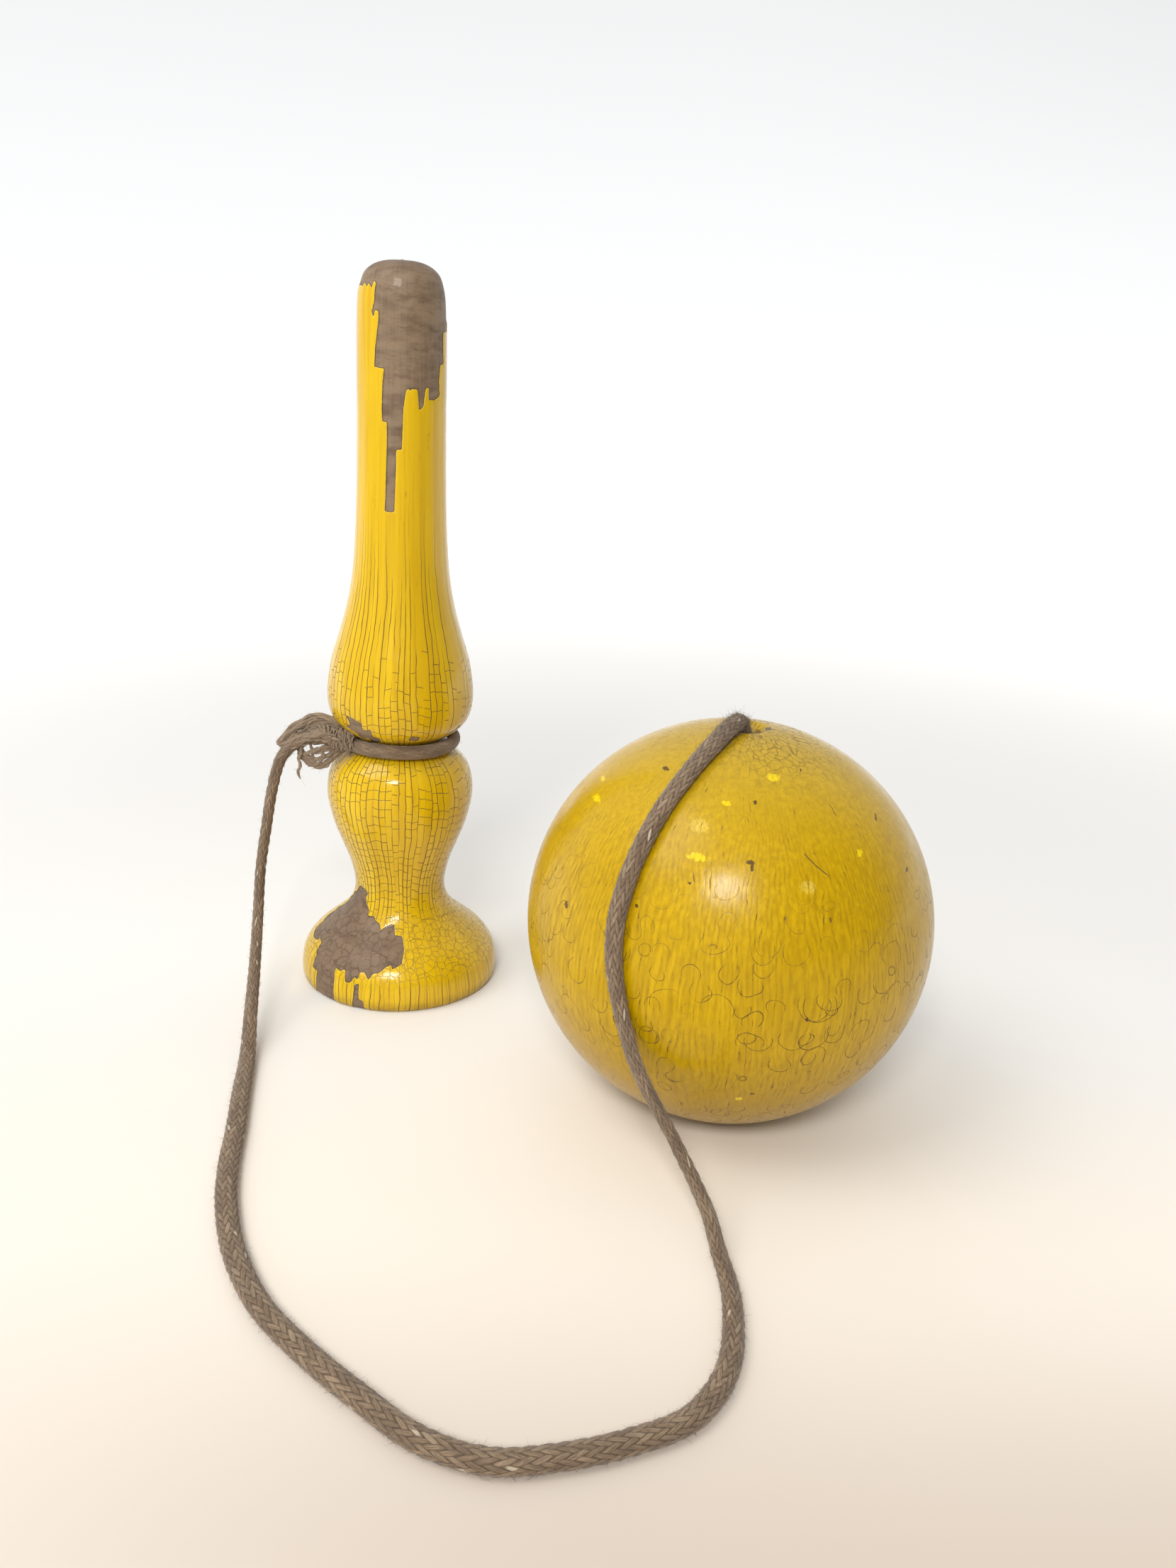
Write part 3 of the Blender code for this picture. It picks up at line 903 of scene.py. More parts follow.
def bundle(templates, places, thick, reach, rng, count=44):
    """Yarns between neighbouring template lines, at the given places from the first to the last."""
    lines = [route_mm(template, count) for template in templates]
    yarns = []
    for place in places:
        first = min(int(place), len(lines) - 1)
        second = min(first + 1, len(lines) - 1)
        line = lines[first] + (place - first) * (lines[second] - lines[first])
        line = clear_of_handle(wandering(line, rng, reach), thick)
        yarns.append((line, yarn_radius(count, thick * rng.uniform(0.8, 1.15), rng)))
    return yarns


def collar_yarns(rng):
    """The turns of frayed yarn round the hitch, over a thick core."""
    core = route_mm(CORE_MM, 40)
    yarns = [(clear_of_handle(core, 0.0019), np.full(40, 0.00175))]
    for place in np.linspace(0.06, 0.62, COLLAR_TURNS) + rng.normal(0, 0.02, COLLAR_TURNS):
        middle_at = core[int(np.clip(place, 0, 1) * 39)]
        turn = np.radians(np.linspace(112, -118, 26))
        bulge = rng.uniform(0.00180, 0.00232)
        slant = rng.normal(0.0014, 0.0018)
        line = np.stack(
            [
                middle_at[0] + slant * np.linspace(-0.5, 0.5, 26),
                middle_at[1] - bulge * np.cos(turn),
                middle_at[2] + bulge * 1.12 * np.sin(turn),
            ],
            1,
        )
        line = clear_of_handle(wandering(line, rng, 0.00022), 0.0003)
        yarns.append((line, yarn_radius(26, rng.uniform(0.00012, 0.00026), rng)))
    return yarns


def build_hitch(finish):
    """The hitch at the groove: its turns, the two bights of loose yarn and the frayed tip."""
    rng = np.random.default_rng(SEED + 1)
    arch = (0, 0, 0.15, 0.3, 0.45, 0.6, 0.75, 0.9, 1.05, 1.2, 1.35, 1.5, 1.7, 1.9, 2.0, 2.0)
    upper = bundle((UPPER_OUT_MM, UPPER_MID_MM, UPPER_IN_MM), arch, 0.00027, 0.00024, rng)
    under = (0.2, 0.45, 0.6, 0.8, 0.9, 1, 1, 1)
    upper += bundle((UPPER_IN_MM, UPPER_LOW_MM), under, 0.00026, 0.00026, rng)
    upper += bundle((UPPER_OUT_MM[:-1] + UPPER_BACK_MM,), (0,) * 7, 0.00032, 0.00030, rng, 70)
    over = (0, 0.2, 0.4, 0.6, 0.8, 1, 1, 1)
    upper += bundle((UPPER_BACK_MM[1:], OVER_MM[::-1]), over, 0.00029, 0.00024, rng)
    fan = (0, 0, 0.15, 0.3, 0.45, 0.6, 0.75, 0.9, 1.05, 1.9, 2.0)
    lower = bundle((LOWER_OUT_MM, LOWER_MID_MM, LOWER_IN_MM), fan, 0.00029, 0.00019, rng)
    fill = (0.25, 0.4, 0.75, 0.85, 0.95, 1, 1, 1)
    lower += bundle((LOWER_MID_MM, LOWER_FILL_MM), fill, 0.00028, 0.0002, rng)
    lower += bundle((LOWER_CROSS_MM,), (0, 0, 0), 0.00028, 0.00014, rng)
    tail = bundle((TAIL_MM,), (0, 0, 0, 0), 0.00024, 0.00017, rng)
    tail = [(line[: 44 - 3 * i], radius[: 44 - 3 * i]) for i, (line, radius) in enumerate(tail)]
    groups = (
        ("knot_yarns", collar_yarns(rng), "cord_knot"),
        ("bow_upper_yarns", upper, "cord_bow_upper"),
        ("bow_lower_yarns", lower, "cord_bow_lower"),
        ("tail_yarns", tail, "cord_frayed_tail"),
    )
    for name, members, node in groups:
        piece = yarns_object(name, members, finish)
        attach(piece, "cord")
        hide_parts(node)
    return [yarn for _, members, _ in groups for yarn in members]


def build_stop_knot(finish):
    """The overhand knot that holds the ball, under the roof of the catch hole."""
    place = np.array(BALL_AT) + (0, 0, KNOT_MIDDLE_Z)
    line = evenly(curve_through(np.array(STOP_KNOT_MM) * MM + place, 12), BRAID_STEP)
    size = np.full(len(line), 0.00125)
    side, _ = yarn_frame(line)
    piece = braided("stop_knot_braid", line, side, size, size, finish)
    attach(piece, "ball_cord")
    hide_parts("cord_stop_knot")


def fibre_from(root, out, along, rng, reach):
    """One loose fibre that leaves the cord's surface and bends along it."""
    length = rng.uniform(0.3, 1.0) * reach
    start = unit(out * rng.uniform(0.15, 0.7) + along * rng.choice((-1, 1)) * rng.uniform(0.5, 1.3))
    bend = rng.normal(0, 0.8, 3)
    share = np.linspace(0, 1, FIBRE_POINTS)[:, None]
    line = root + length * (start * share + bend * share**2 * 0.6)
    radius = np.linspace(0.000020, 0.000010, FIBRE_POINTS)
    return line, radius


def off_the_ball(line):
    """The line, moved out of the ball and up from the floor where it would be inside them."""
    away = line - BALL_CENTRE
    distance = np.linalg.norm(away, axis=1, keepdims=True)
    allowed = np.where(np.hypot(away[:, 0], away[:, 1]) < MOUTH_R, 0, BALL_R + 0.00004)[:, None]
    moved = BALL_CENTRE + away * np.maximum(allowed / distance, 1)
    moved[:, 2] = np.maximum(moved[:, 2], 0.00004)
    return moved


def build_cord_fuzz(line, section, bend, finish):
    """Loose fibres along the free cord, most of them at the hitch and at the ball's hole."""
    rng = np.random.default_rng(SEED + 2)
    tangent, wide, thin = frames_along(line, section[:, 2:])
    lengths = distances(line)
    total = lengths[-1]
    at_hole = near_hole(line, lengths)
    crowd = 1 + 4 * np.exp(-(lengths / 0.008) ** 2) + 16 * at_hole
    crowd[lengths > total - 0.030] = 0
    picks = rng.choice(len(line), FUZZ_COUNT, p=crowd / crowd.sum())
    yarns, places = [], []
    for i in picks:
        turn = rng.uniform(0, 2 * np.pi)
        out = unit(wide[i] * np.cos(turn) + thin[i] * np.sin(turn))
        root = line[i] + wide[i] * np.cos(turn) * section[i, 0] * MM * 0.97
        root = root + thin[i] * np.sin(turn) * section[i, 1] * MM * 0.97
        reach = 0.0009 + 0.0003 * at_hole[i]
        fibre, radius = fibre_from(root, out, tangent[i], rng, reach)
        yarns.append((off_the_ball(fibre), radius))
        places.append(lengths[i])
    piece = yarns_object("cord_fuzz", yarns, finish, 3)
    blend_by_length(piece, np.repeat(places, FIBRE_POINTS * 3), *bend)


def build_hitch_fuzz(yarns, finish):
    """Loose fibres on the hitch's yarns and on the loop in the groove."""
    rng = np.random.default_rng(SEED + 3)
    loop_turn = np.linspace(0, 2 * np.pi, 200)
    loop = np.stack([np.cos(loop_turn), np.sin(loop_turn), 0 * loop_turn], 1) * LOOP_R
    loop += np.array(HANDLE_AT) + (0, 0, GROOVE_Z)
    sources = [*yarns, *[(loop, np.full(200, 0.0015))] * 12]
    fuzz = []
    for line, radius in sources:
        tangent = unit(np.gradient(line, axis=0))
        for _ in range(HITCH_FUZZ_EACH):
            i = rng.integers(len(line))
            out = rng.normal(0, 1, 3)
            out = unit(out - (out @ tangent[i]) * tangent[i])
            fibre, thick = fibre_from(line[i] + out * radius[i] * 0.95, out, tangent[i], rng, 0.0012)
            fuzz.append((clear_of_handle(fibre, 0.00005), thick))
    piece = yarns_object("hitch_fuzz", fuzz, finish, 3)
    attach(piece, "cord")


# ---------------------------------------------------------------- stage and light

FLOOR_R = 4
FLOOR_CORNERS = 96
FLOOR_DROP = 0.00002


def build_stage():
    """A pale floor with painted shade, warmer and darker at the front, and a painted glow far away."""
    floor = Finish("floor")
    place = floor.object_place()
    x, y, _ = floor.split(place)
    # Painted shade: the colour turns warmer, then darker, towards the front, and less so on the left.
    pale = floor.mix(floor.step(y, 0.03, -0.07), (0.90, 0.885, 0.86), (0.93, 0.86, 0.77))
    front = floor.times(floor.step(y, -0.06, -0.135), floor.step(x, -0.12, 0.01, 0.35, 1.0))
    # Painted glow: the floor gives off light far away, so that it fades into the white backdrop.
    painted_far_glow = floor.step(floor.length(place), 0.16, 0.9, 0.0, 0.8)
    floor.surface(
        {
            "Base Color": floor.mix(front, pale, (0.66, 0.565, 0.48)),
            "Roughness": 0.85,
            "Specular IOR Level": 0.2,
            "Emission Color": (1.0, 1.0, 0.99),
            "Emission Strength": floor.times(painted_far_glow, floor.step(y, -0.05, 0.10)),
        }
    )
    turn = np.linspace(0, 2 * math.pi, FLOOR_CORNERS, endpoint=False)
    height = np.full(FLOOR_CORNERS, -FLOOR_DROP)
    points = np.stack([FLOOR_R * np.cos(turn), FLOOR_R * np.sin(turn), height], 1)
    piece = mesh_object("floor", points, [list(range(FLOOR_CORNERS))], floor, smooth=False)


def add_area(name, place, target, size, power, colour):
    data = bpy.data.lights.new(name, "AREA")
    data.shape = "RECTANGLE"
    data.size, data.size_y = size
    data.energy = power
    data.color = colour
    light = bpy.data.objects.new(name, data)
    light.location = place
    light.rotation_euler = (Vector(target) - Vector(place)).to_track_quat("-Z", "Y").to_euler()
    bpy.context.scene.collection.objects.link(light)


def build_world():
    """White all round, with less light from the front and the right."""
    world = bpy.data.worlds.new("studio")
    made = Nodes(world)
    x, y, z = made.split(made.add("ShaderNodeTexCoord").outputs["Generated"])
    side = made.step(x, -0.4, 0.9, 0.67, 0.16)
    above = made.step(z, 0.0, 0.35, 1.03, 0.87)
    corner = made.times(made.step(x, 0.05, 0.60), made.step(z, 0.0, 0.25))
    above = made.times(above, made.minus(1, made.times(corner, 0.09)))
    strength = made.between(made.step(y, -0.1, 0.5), side, above)
    made.fill(made.nodes["Background"], {"Strength": strength, "Color": (0.975, 0.985, 0.99)})
    bpy.context.scene.world = world


def build_light():
    build_world()
    add_area("key", (-0.60, -0.30, 0.95), (0, 0, 0.03), (0.6, 0.6), 3.7, (1.0, 0.985, 0.96))
    add_area("window", (-0.12, -0.85, 0.72), (0, 0, 0.04), (0.34, 0.22), 5.8, (1.0, 0.98, 0.95))
    bpy.context.scene.view_settings.view_transform = "Standard"
    bpy.context.scene.view_settings.look = "None"


# ---------------------------------------------------------------- finishes


def grain_cracks(made, lay, count, girth, slow, fast):
    """Long cracks along the grain: the distance to the nearest one, and the column of each place, as
    its whole number, its share and both together."""
    x, y, _ = made.split(lay)
    turn = made.times(made.math("ARCTAN2", y, x), count / (2 * math.pi))
    bend = made.uneven(lay, (0.10, 0.10, 0.035))
    shake = made.uneven(lay, (0.75, 0.75, 0.22))
    column = made.plus(turn, made.plus(made.times(bend, slow), made.times(shake, fast)))
    near, index = made.fold(column)
    width = made.times(girth, 2 * math.pi / count)
    return made.times(near, width), index, made.math("FRACT", column), column


def long_cracks(made, lay, girth, along):
    """The handle's long cracks, each with its own strength. Also gives their columns."""
    distance, index, place, column = grain_cracks(made, lay, 70, girth, 2.4, 0.46)
    nearest = made.math("ROUND", column)
    own = made.chance(nearest)
    fade = made.noise(made.joined(made.times(nearest, 3.7), made.times(along, 0.07), 0), (1, 1, 1), 2)
    chosen = made.plus(made.times(own, 0.5), made.plus(fade, made.step(along, 62, 100, 0.0, 0.13)))
    strength = made.plus(made.times(made.step(along, 48, 84), 0.90), 0.09)
    strong = made.times(strength, made.step(chosen, 0.64, 0.84, 0.05, 1.0))
    half = made.plus(0.014, made.times(own, 0.044))
    return made.times(made.line(distance, half, 0.070), strong), index, place


BRICK_MM = 2.1  # from one cross crack to the next
NET_CELLS = 0.60  # the foot's cells in each millimetre


def cross_cracks(made, lay, along, index, place):
    """Short cracks across each column, as in old varnish."""
    tilt = made.times(made.minus(place, 0.5), made.minus(made.chance(index, 5), 0.5))
    wave = made.noise(lay, (0.22, 0.22, 0.22), 1)
    row = made.plus(made.times(along, 1 / BRICK_MM), made.times(made.chance(index, 9), 7))
    row = made.plus(row, made.plus(made.times(tilt, 0.35), made.times(wave, 0.8)))
    near_row, _ = made.fold(row)
    density = made.times(made.step(along, 80, 105), made.step(along, 160, 152))
    patchy = made.noise(lay, (0.16, 0.16, 0.13), 2)
    density = made.times(density, made.step(patchy, 0.30, 0.58, 0.35, 1.0))
    there = made.math("LESS_THAN", made.chance(index, made.math("ROUND", row)), density)
    return made.times(made.line(made.times(near_row, BRICK_MM), 0.030, 0.080), there, 0.9)


def handle_cracks(made, lay, real, girth, along):
    """The crackle in the handle's paint: long cracks, short ones across them, and the foot's net."""
    lengthwise, index, place = long_cracks(made, lay, girth, along)
    crosswise = cross_cracks(made, lay, along, index, place)
    wander = made.scaled(made.noise(real, (0.6, 0.6, 0.6), 2, output="Color"), (0.6, 0.6, 0.6))
    net = made.cells(made.moved(real, wander), (NET_CELLS,) * 3, "DISTANCE_TO_EDGE", spread=0.8)
    net = made.line(made.times(net["Distance"], 1 / NET_CELLS), 0.022, 0.085)
    foot = made.times(made.step(along, 150, 157), made.step(along, 172, 168))
    netted = made.times(net, foot, 0.55)
    lengthwise = made.times(lengthwise, made.minus(1, made.times(foot, 0.5)))
    fine, _, _, _ = grain_cracks(made, lay, 128, girth, 1.8, 0.9)
    fine = made.times(made.line(fine, 0.02, 0.075), made.step(along, 168, 171), 0.45)
    return made.highest(lengthwise, crosswise, made.highest(netted, fine))


def handle_yellow(made, lay, along):
    """The handle's paint: lemon to amber streaks, darker at the groove and base, painted shade on the right.
    """
    streak = made.noise(lay, (0.55, 0.55, 0.018), 3, 0.55)
    cloud = made.noise(lay, (0.09, 0.09, 0.05), 3)
    amber = made.step(made.noise(made.moved(lay, (9, 4, 2)), (0.5, 0.5, 0.02), 2), 0.56, 0.70, 0, 0.62)
    # Darker in and round the groove and along the foot's lowest edge.
    groove = made.times(made.step(along, 103, 109.5), made.step(along, 118, 112), 0.42)
    groove_and_base_dark = made.highest(groove, made.step(along, 173.2, 176.4, 0, 1.0))
    smudge = made.step(made.noise(lay, (0.55, 0.55, 0.22), 4, 0.65), 0.61, 0.78, 0, 0.5)
    return made.layered(
        made.mix(made.step(streak, 0.30, 0.72), (0.685, 0.420, 0.003), (0.810, 0.532, 0.005)),
        (amber, (0.64, 0.370, 0.003)),
        # Painted shade: the handle's right side is darker.
        (made.step(made.split(lay)[0], 1, 11.5, 0, 0.34), (0.50, 0.330, 0.012)),
        (made.step(cloud, 0.45, 0.75, 0, 0.35), (0.66, 0.41, 0.005)),
        (made.times(groove_and_base_dark, made.noise(lay, (0.7, 0.7, 0.7), 3)), (0.22, 0.125, 0.015)),
        (smudge, (0.42, 0.25, 0.01)),
    )


def handle_wood(made, lay, real, along):
    """The bare wood: banded grey-brown, warmer on the foot. Also gives its relief in millimetres."""
    grainy = made.noise(lay, (1.5, 1.5, 0.06), 3, 0.6)
    bands = made.noise(lay, (0.10, 0.10, 0.34), 4, 0.65)
    blotch = made.step(made.noise(lay, (0.16, 0.16, 0.50), 3, 0.6), 0.56, 0.70, 0, 0.55)
    crown = made.times(made.step(along, 10, 5), made.noise(lay, (0.2, 0.2, 0.3), 2))
    wander = made.scaled(made.noise(real, (0.8, 0.8, 0.8), 3, output="Color"), (2.4, 2.4, 2.4))
    old = made.cells(made.moved(real, wander), (0.42, 0.42, 0.42), "DISTANCE_TO_EDGE")["Distance"]
    faded = made.step(made.noise(real, (0.35, 0.35, 0.35), 2), 0.35, 0.60, 0.25, 0.70)
    old = made.times(made.step(old, 0.01, 0.11, 1, 0), made.step(along, 137, 148), faded)
    wood = made.layered(
        made.mix(made.step(bands, 0.34, 0.62), (0.158, 0.103, 0.063), (0.262, 0.186, 0.118)),
        (made.step(grainy, 0.38, 0.68, 0, 0.28), (0.330, 0.242, 0.160)),
        (blotch, (0.125, 0.076, 0.046)),
        (crown, (0.13, 0.066, 0.036)),
        (made.step(along, 135, 150, 0, 0.45), (0.205, 0.128, 0.076)),
        (old, (0.095, 0.058, 0.036)),
    )
    return wood, made.minus(made.times(grainy, 0.05), made.times(old, 0.07))


def paint_handle():
    made = Finish("handle_paint")
    lay = made.attribute("lay", "Vector")
    bare = made.attribute("bare")
    girth = made.attribute("girth")
    along = made.split(lay)[2]
    real = made.scaled(made.object_place(), (1000, 1000, 1000))
    cracks = handle_cracks(made, lay, real, girth, along)
    painted = made.mix(made.times(cracks, 0.93), handle_yellow(made, lay, along), (0.10, 0.058, 0.007))
    wood, rough_wood = handle_wood(made, lay, real, along)

    edge = made.plus(bare, made.times(made.uneven(real, (3.2, 3.2, 1.6), 3, 0.6), 0.22))
    is_bare = made.step(edge, -0.02, 0.04)
    # Painted highlight: a lighter band on the paint just outside each bare patch.
    broken = made.times(made.step(edge, -0.22, -0.06), made.minus(1, is_bare))
    painted = made.mix(made.times(broken, 0.35), painted, (0.93, 0.70, 0.10))
    # Painted shade, partly dirt: a dark line on the wood just inside the paint's edge.
    shade = made.times(made.step(edge, 0.28, 0.05), is_bare)
    wood = made.mix(made.times(shade, 0.75), wood, (0.055, 0.032, 0.018))

    dull = made.step(made.noise(real, (0.5, 0.5, 0.5), 3), 0.3, 0.7, 0.13, 0.22)
    swell = made.times(made.noise(real, (0.55, 0.55, 0.22), 2), 0.10)
    relief = made.minus(swell, made.times(cracks, 0.06))
    height = made.between(is_bare, made.plus(relief, 0.12), rough_wood)
    made.surface(
        {
            "Base Color": made.mix(is_bare, painted, wood),
            "Roughness": made.between(is_bare, made.between(cracks, dull, 0.6), 0.62),
            "Normal": made.bump(height, 0.8),
            "Specular IOR Level": 0.36,
            "Coat Weight": 0.12,
            "Coat Roughness": 0.06,
        }
    )
    return made


# Marks on the ball: millimetres from its centre, and half the mark's size across and up.
BRIGHT_FLECKS = (
    (-9.9, -30.1, 24.4, 1.9, 0.55), (18.9, -25.0, 24.8, 0.55, 0.6), (3.6, -18.0, 35.6, 1.1, 0.7),
    (-5.0, -23.3, 32.1, 0.7, 0.35), (-26.5, -5.1, 29.5, 0.7, 0.35), (-27.6, -10.0, 27.2, 1.6, 0.45),
    (0.7, -34.7, -19.8, 0.7, 0.4),
)
RUBBED_SPOTS = ((-9.6, -26.2, 28.7, 1.7, 1.2), (9.2, -32.8, 21.0, 1.5, 1.1))
DARK_NICKS = (
    (-0.9, -31.7, 24.5, 0.62, 0.32), (-0.6, -32.1, 23.9, 0.26, 0.75), (0.1, -23.3, 32.5, 0.33, 0.33),
    (23.1, -16.1, 28.4, 0.20, 0.75), (29.3, -18.9, 19.7, 0.30, 0.35), (-32.1, -21.5, 10.3, 0.28, 0.60),
    (10.4, -38.6, -1.1, 0.28, 0.40), (2.9, -35.5, -18.2, 0.45, 0.25), (-15.3, -12.9, 34.6, 0.6, 0.25),
    (-11.0, -32.6, 20.5, 0.28, 0.20), (-19.8, -31.2, 15.2, 0.25, 0.25), (8.9, -14.7, 36.1, 0.2, 0.2),
    (4.1, -0.5, 39.7, 0.8, 0.4),
)
SCRATCH = ((8.5, -29.4, 25.7), (10.5, -30.2, 24.0), (12.9, -30.6, 22.3))


def spots(made, lay, marks, uneven):
    """1 inside any of the marks, whose edges are ragged."""
    found = []
    ragged = made.times(made.minus(uneven, 0.5), 4.5)
    for x, y, z, half_wide, half_high in marks:
        away = made.split(made.moved(lay, (-x, -y, -z)))
        reaches = (half_wide, max(half_wide, 1.2), half_high)
        squares = [
            made.math("POWER", made.times(part, 1 / reach), 2) for part, reach in zip(away, reaches)
        ]
        found.append(made.step(made.plus(*squares, ragged), 1.15, 0.80))
    return made.highest(*found)


def scratch_distance(made, lay):
    """The distance to the scratch's two straight pieces, in millimetres."""
    found = []
    for start, end in zip(SCRATCH, SCRATCH[1:]):
        run = Vector(end) - Vector(start)
        away = made.moved(lay, tuple(-Vector(start)))
        reach = made.vector("DOT_PRODUCT", away, tuple(run))["Value"]
        share = made.math("MULTIPLY", reach, 1 / run.length_squared, clamp=True)
        back = made.add("ShaderNodeVectorMath", {0: tuple(-run), "Scale": share}, operation="SCALE")
        found.append(made.length(made.moved(away, back.outputs[0])))
    return made.chain("MINIMUM", found)


# The rings that the curls are parts of: the spacing in millimetres, a shift of the pattern and how
# many of them are there. Each ring is cut by the surface from a ball round one point of the pattern.
CURL_LAYERS = ((5.2, 0.0, 0.8), (6.2, 31.0, 0.9), (7.2, 67.0, 0.9), (8.4, 93.0, 0.9), (9.8, 127.0, 0.9))
CURL_RING = 0.30  # a ring's radius as a share of the spacing
CURL_WANDER = 3.0


def curl_layer(made, bent, size, shift, share):
    """One layer of the curls: 1 on their lines."""
    offset = (shift, shift * 0.7, -shift)
    place = made.scaled(made.moved(bent, offset), (1 / size,) * 3)
    sockets = {"Vector": place, "Scale": 1, "Randomness": 0.75}
    rings = made.add("ShaderNodeTexVoronoi", sockets, feature="F1").outputs
    tint = made.split(rings["Color"])
    radius = made.plus(CURL_RING, made.times(made.minus(tint[0], 0.5), 0.16))
    off = made.times(made.math("ABSOLUTE", made.minus(rings["Distance"], radius)), size)
    below = made.minus(made.split(place)[2], made.split(rings["Position"])[2])
    side = made.math("SIGN", made.minus(tint[2], 0.30))
    arc = made.step(made.times(below, side, 1 / CURL_RING), 0.65, 0.25)
    middle_at = made.scaled(rings["Position"], (size,) * 3)
    middle_at = made.moved(middle_at, tuple(-value - CURL_WANDER / 2 for value in offset))
    depth = made.math("ABSOLUTE", made.minus(made.length(middle_at), BALL_R / MM))
    wide = made.math("LESS_THAN", depth, 0.75 * CURL_RING * size)
    chosen = made.math("LESS_THAN", tint[1], share)
    return made.times(made.line(off, 0.022, 0.080), arc, chosen, wide)


def curls(made, lay):
    """Short curved scratches: parts of rings, most of them open at the top."""
    wander = made.noise(lay, (0.13, 0.13, 0.13), 1, output="Color")
    bent = made.moved(lay, made.scaled(wander, (CURL_WANDER,) * 3))
    return made.highest(0.0, *[curl_layer(made, bent, *layer) for layer in CURL_LAYERS])


HAIRLINES = 216  # round the ball


def ball_lines(made, lay, level, z):
    """Broken hairline cracks along the grain, close together."""
    x, y, _ = made.split(lay)
    turn = made.times(made.math("ARCTAN2", y, x), HAIRLINES / (2 * math.pi))
    bend = made.uneven(lay, (0.05, 0.05, 0.02))
    shake = made.uneven(lay, (0.5, 0.5, 0.13))
    column = made.plus(turn, made.plus(made.times(bend, 10), made.times(shake, 1.7)))
    near, _ = made.fold(column)
    nearest = made.math("ROUND", column)
    distance = made.times(near, made.times(level, 2 * math.pi / HAIRLINES))
    place = made.joined(made.times(nearest, 3.1), made.times(z, 0.34), 0)
    broken = made.noise(place, (1, 1, 1), 3, 0.6)
    faint = made.times(made.line(distance, 0.05, 0.28), made.step(broken, 0.35, 0.60, 0.10, 0.40))
    dark = made.times(made.line(distance, 0.03, 0.09), made.step(broken, 0.58, 0.70))
    return faint, dark


def ball_scratches(made, lay, level, uneven):
    """The ball's faint hairlines, and its dark marks: cracks, curls and the net round the cord's hole."""
    x, y, z = made.split(lay)
    faint, dark = ball_lines(made, lay, level, z)
    faint = made.times(faint, made.step(z, 34, 18, 0.35, 1.0))
    dark = made.times(dark, made.step(z, 30, 0, 0.75, 0.95))
    crowd = made.step(made.noise(made.moved(lay, (0, 0, 9)), (0.06, 0.06, 0.06), 2), 0.35, 0.50, 0.30, 1.0)
    curled = made.times(curls(made, lay), made.step(z, 24, 0, 0.20, 1.0), crowd, 0.95)
    curled = made.times(curled, made.step(uneven, 0.36, 0.56, 0.45, 1.0))
    wander = made.scaled(made.noise(lay, (0.35, 0.35, 0.35), 3, output="Color"), (1.6, 1.6, 0))
    polar = made.joined(made.times(made.math("ARCTAN2", y, x), 10), made.times(level, 0.55), 0)
    net = made.cells(made.moved(polar, wander), (1, 1, 1), "DISTANCE_TO_EDGE")["Distance"]
    near_top = made.times(made.step(level, 26, 9), made.step(x, -6, 4, 0.45, 1.0), made.step(z, 18, 28))
    net = made.times(made.line(net, 0.011, 0.062), near_top, 0.66)
    return faint, made.highest(dark, curled, net)


def ball_nicks(made, lay, uneven):
    """The ball's dark nicks, its one long scratch and its specks."""
    scratch = made.line(scratch_distance(made, lay), 0.05, 0.12)
    scratch = made.times(scratch, made.step(uneven, 0.32, 0.48))
    speck = made.cells(lay, (0.16, 0.16, 0.16))
    ragged = made.plus(speck["Distance"], made.times(made.minus(uneven, 0.5), 0.12))
    speck_size = made.step(made.split(speck["Color"])[0], 0.74, 1.0, 0.0, 0.055)
    specks = made.math("LESS_THAN", ragged, speck_size)
    return made.highest(spots(made, lay, DARK_NICKS, uneven), scratch, specks)


def ball_yellow(made, lay, uneven):
    """The ball's paint without its dark marks: streaked, painted shade below and on the right, rubbed in
    spots.
    """
    x, _, z = made.split(lay)
    flecks = spots(made, lay, BRIGHT_FLECKS, uneven)
    rubbed = made.times(spots(made, lay, RUBBED_SPOTS, uneven), made.step(uneven, 0.35, 0.6, 0.2, 0.9))
    streak = made.noise(made.scaled(lay, (1, 1, 0.07)), (1.25, 1.25, 1.0), 3, 0.6)
    cloud = made.noise(lay, (0.05, 0.05, 0.045), 4, 0.6)
    mottle = made.noise(lay, (0.9, 0.9, 0.45), 4, 0.65)
    return made.layered(
        made.mix(made.step(streak, 0.32, 0.68), (0.510, 0.313, 0.001), (0.650, 0.408, 0.002)),
        (made.step(cloud, 0.42, 0.70, 0, 0.5), (0.500, 0.305, 0.001)),
        (made.step(mottle, 0.48, 0.72, 0, 0.40), (0.430, 0.250, 0.001)),
        (made.step(z, 22, 38, 0, 0.40), (0.56, 0.38, 0.03)),
        # Painted shade: the paint turns darker towards the bottom.
        (made.step(z, 2, -32, 0, 0.78), (0.36, 0.215, 0.002)),
        # Painted shade: the paint is darker on the right side.
        (made.step(x, 12, 40, 0, 0.25), (0.42, 0.26, 0.006)),
        (made.times(rubbed, 0.6), (0.93, 0.70, 0.12)),
        (made.times(flecks, 0.85), (0.93, 0.69, 0.004)),
    )


def ball_bareness(made, lay, level):
    """1 where the ball has no paint: round the cord's hole, on the flat rim and in the catch hole."""
    x, y, z = made.split(lay)
    ragged = made.times(made.uneven(lay, (0.8, 0.8, 0.8), 3, 0.6), 2.2)
    right = made.times(made.step(x, 0.5, 3.0), made.step(made.math("ABSOLUTE", y), 3.0, 0.6), 0.5)
    worn = made.minus(made.plus(2.75, right), made.plus(level, ragged))
    worn = made.times(made.step(worn, 0, 0.15), made.step(z, 30, 31))
    rim = made.times(made.step(level, 13.6, 12.9), made.step(z, -37, -37.4))
    return made.highest(worn, rim, made.attribute("inside"))


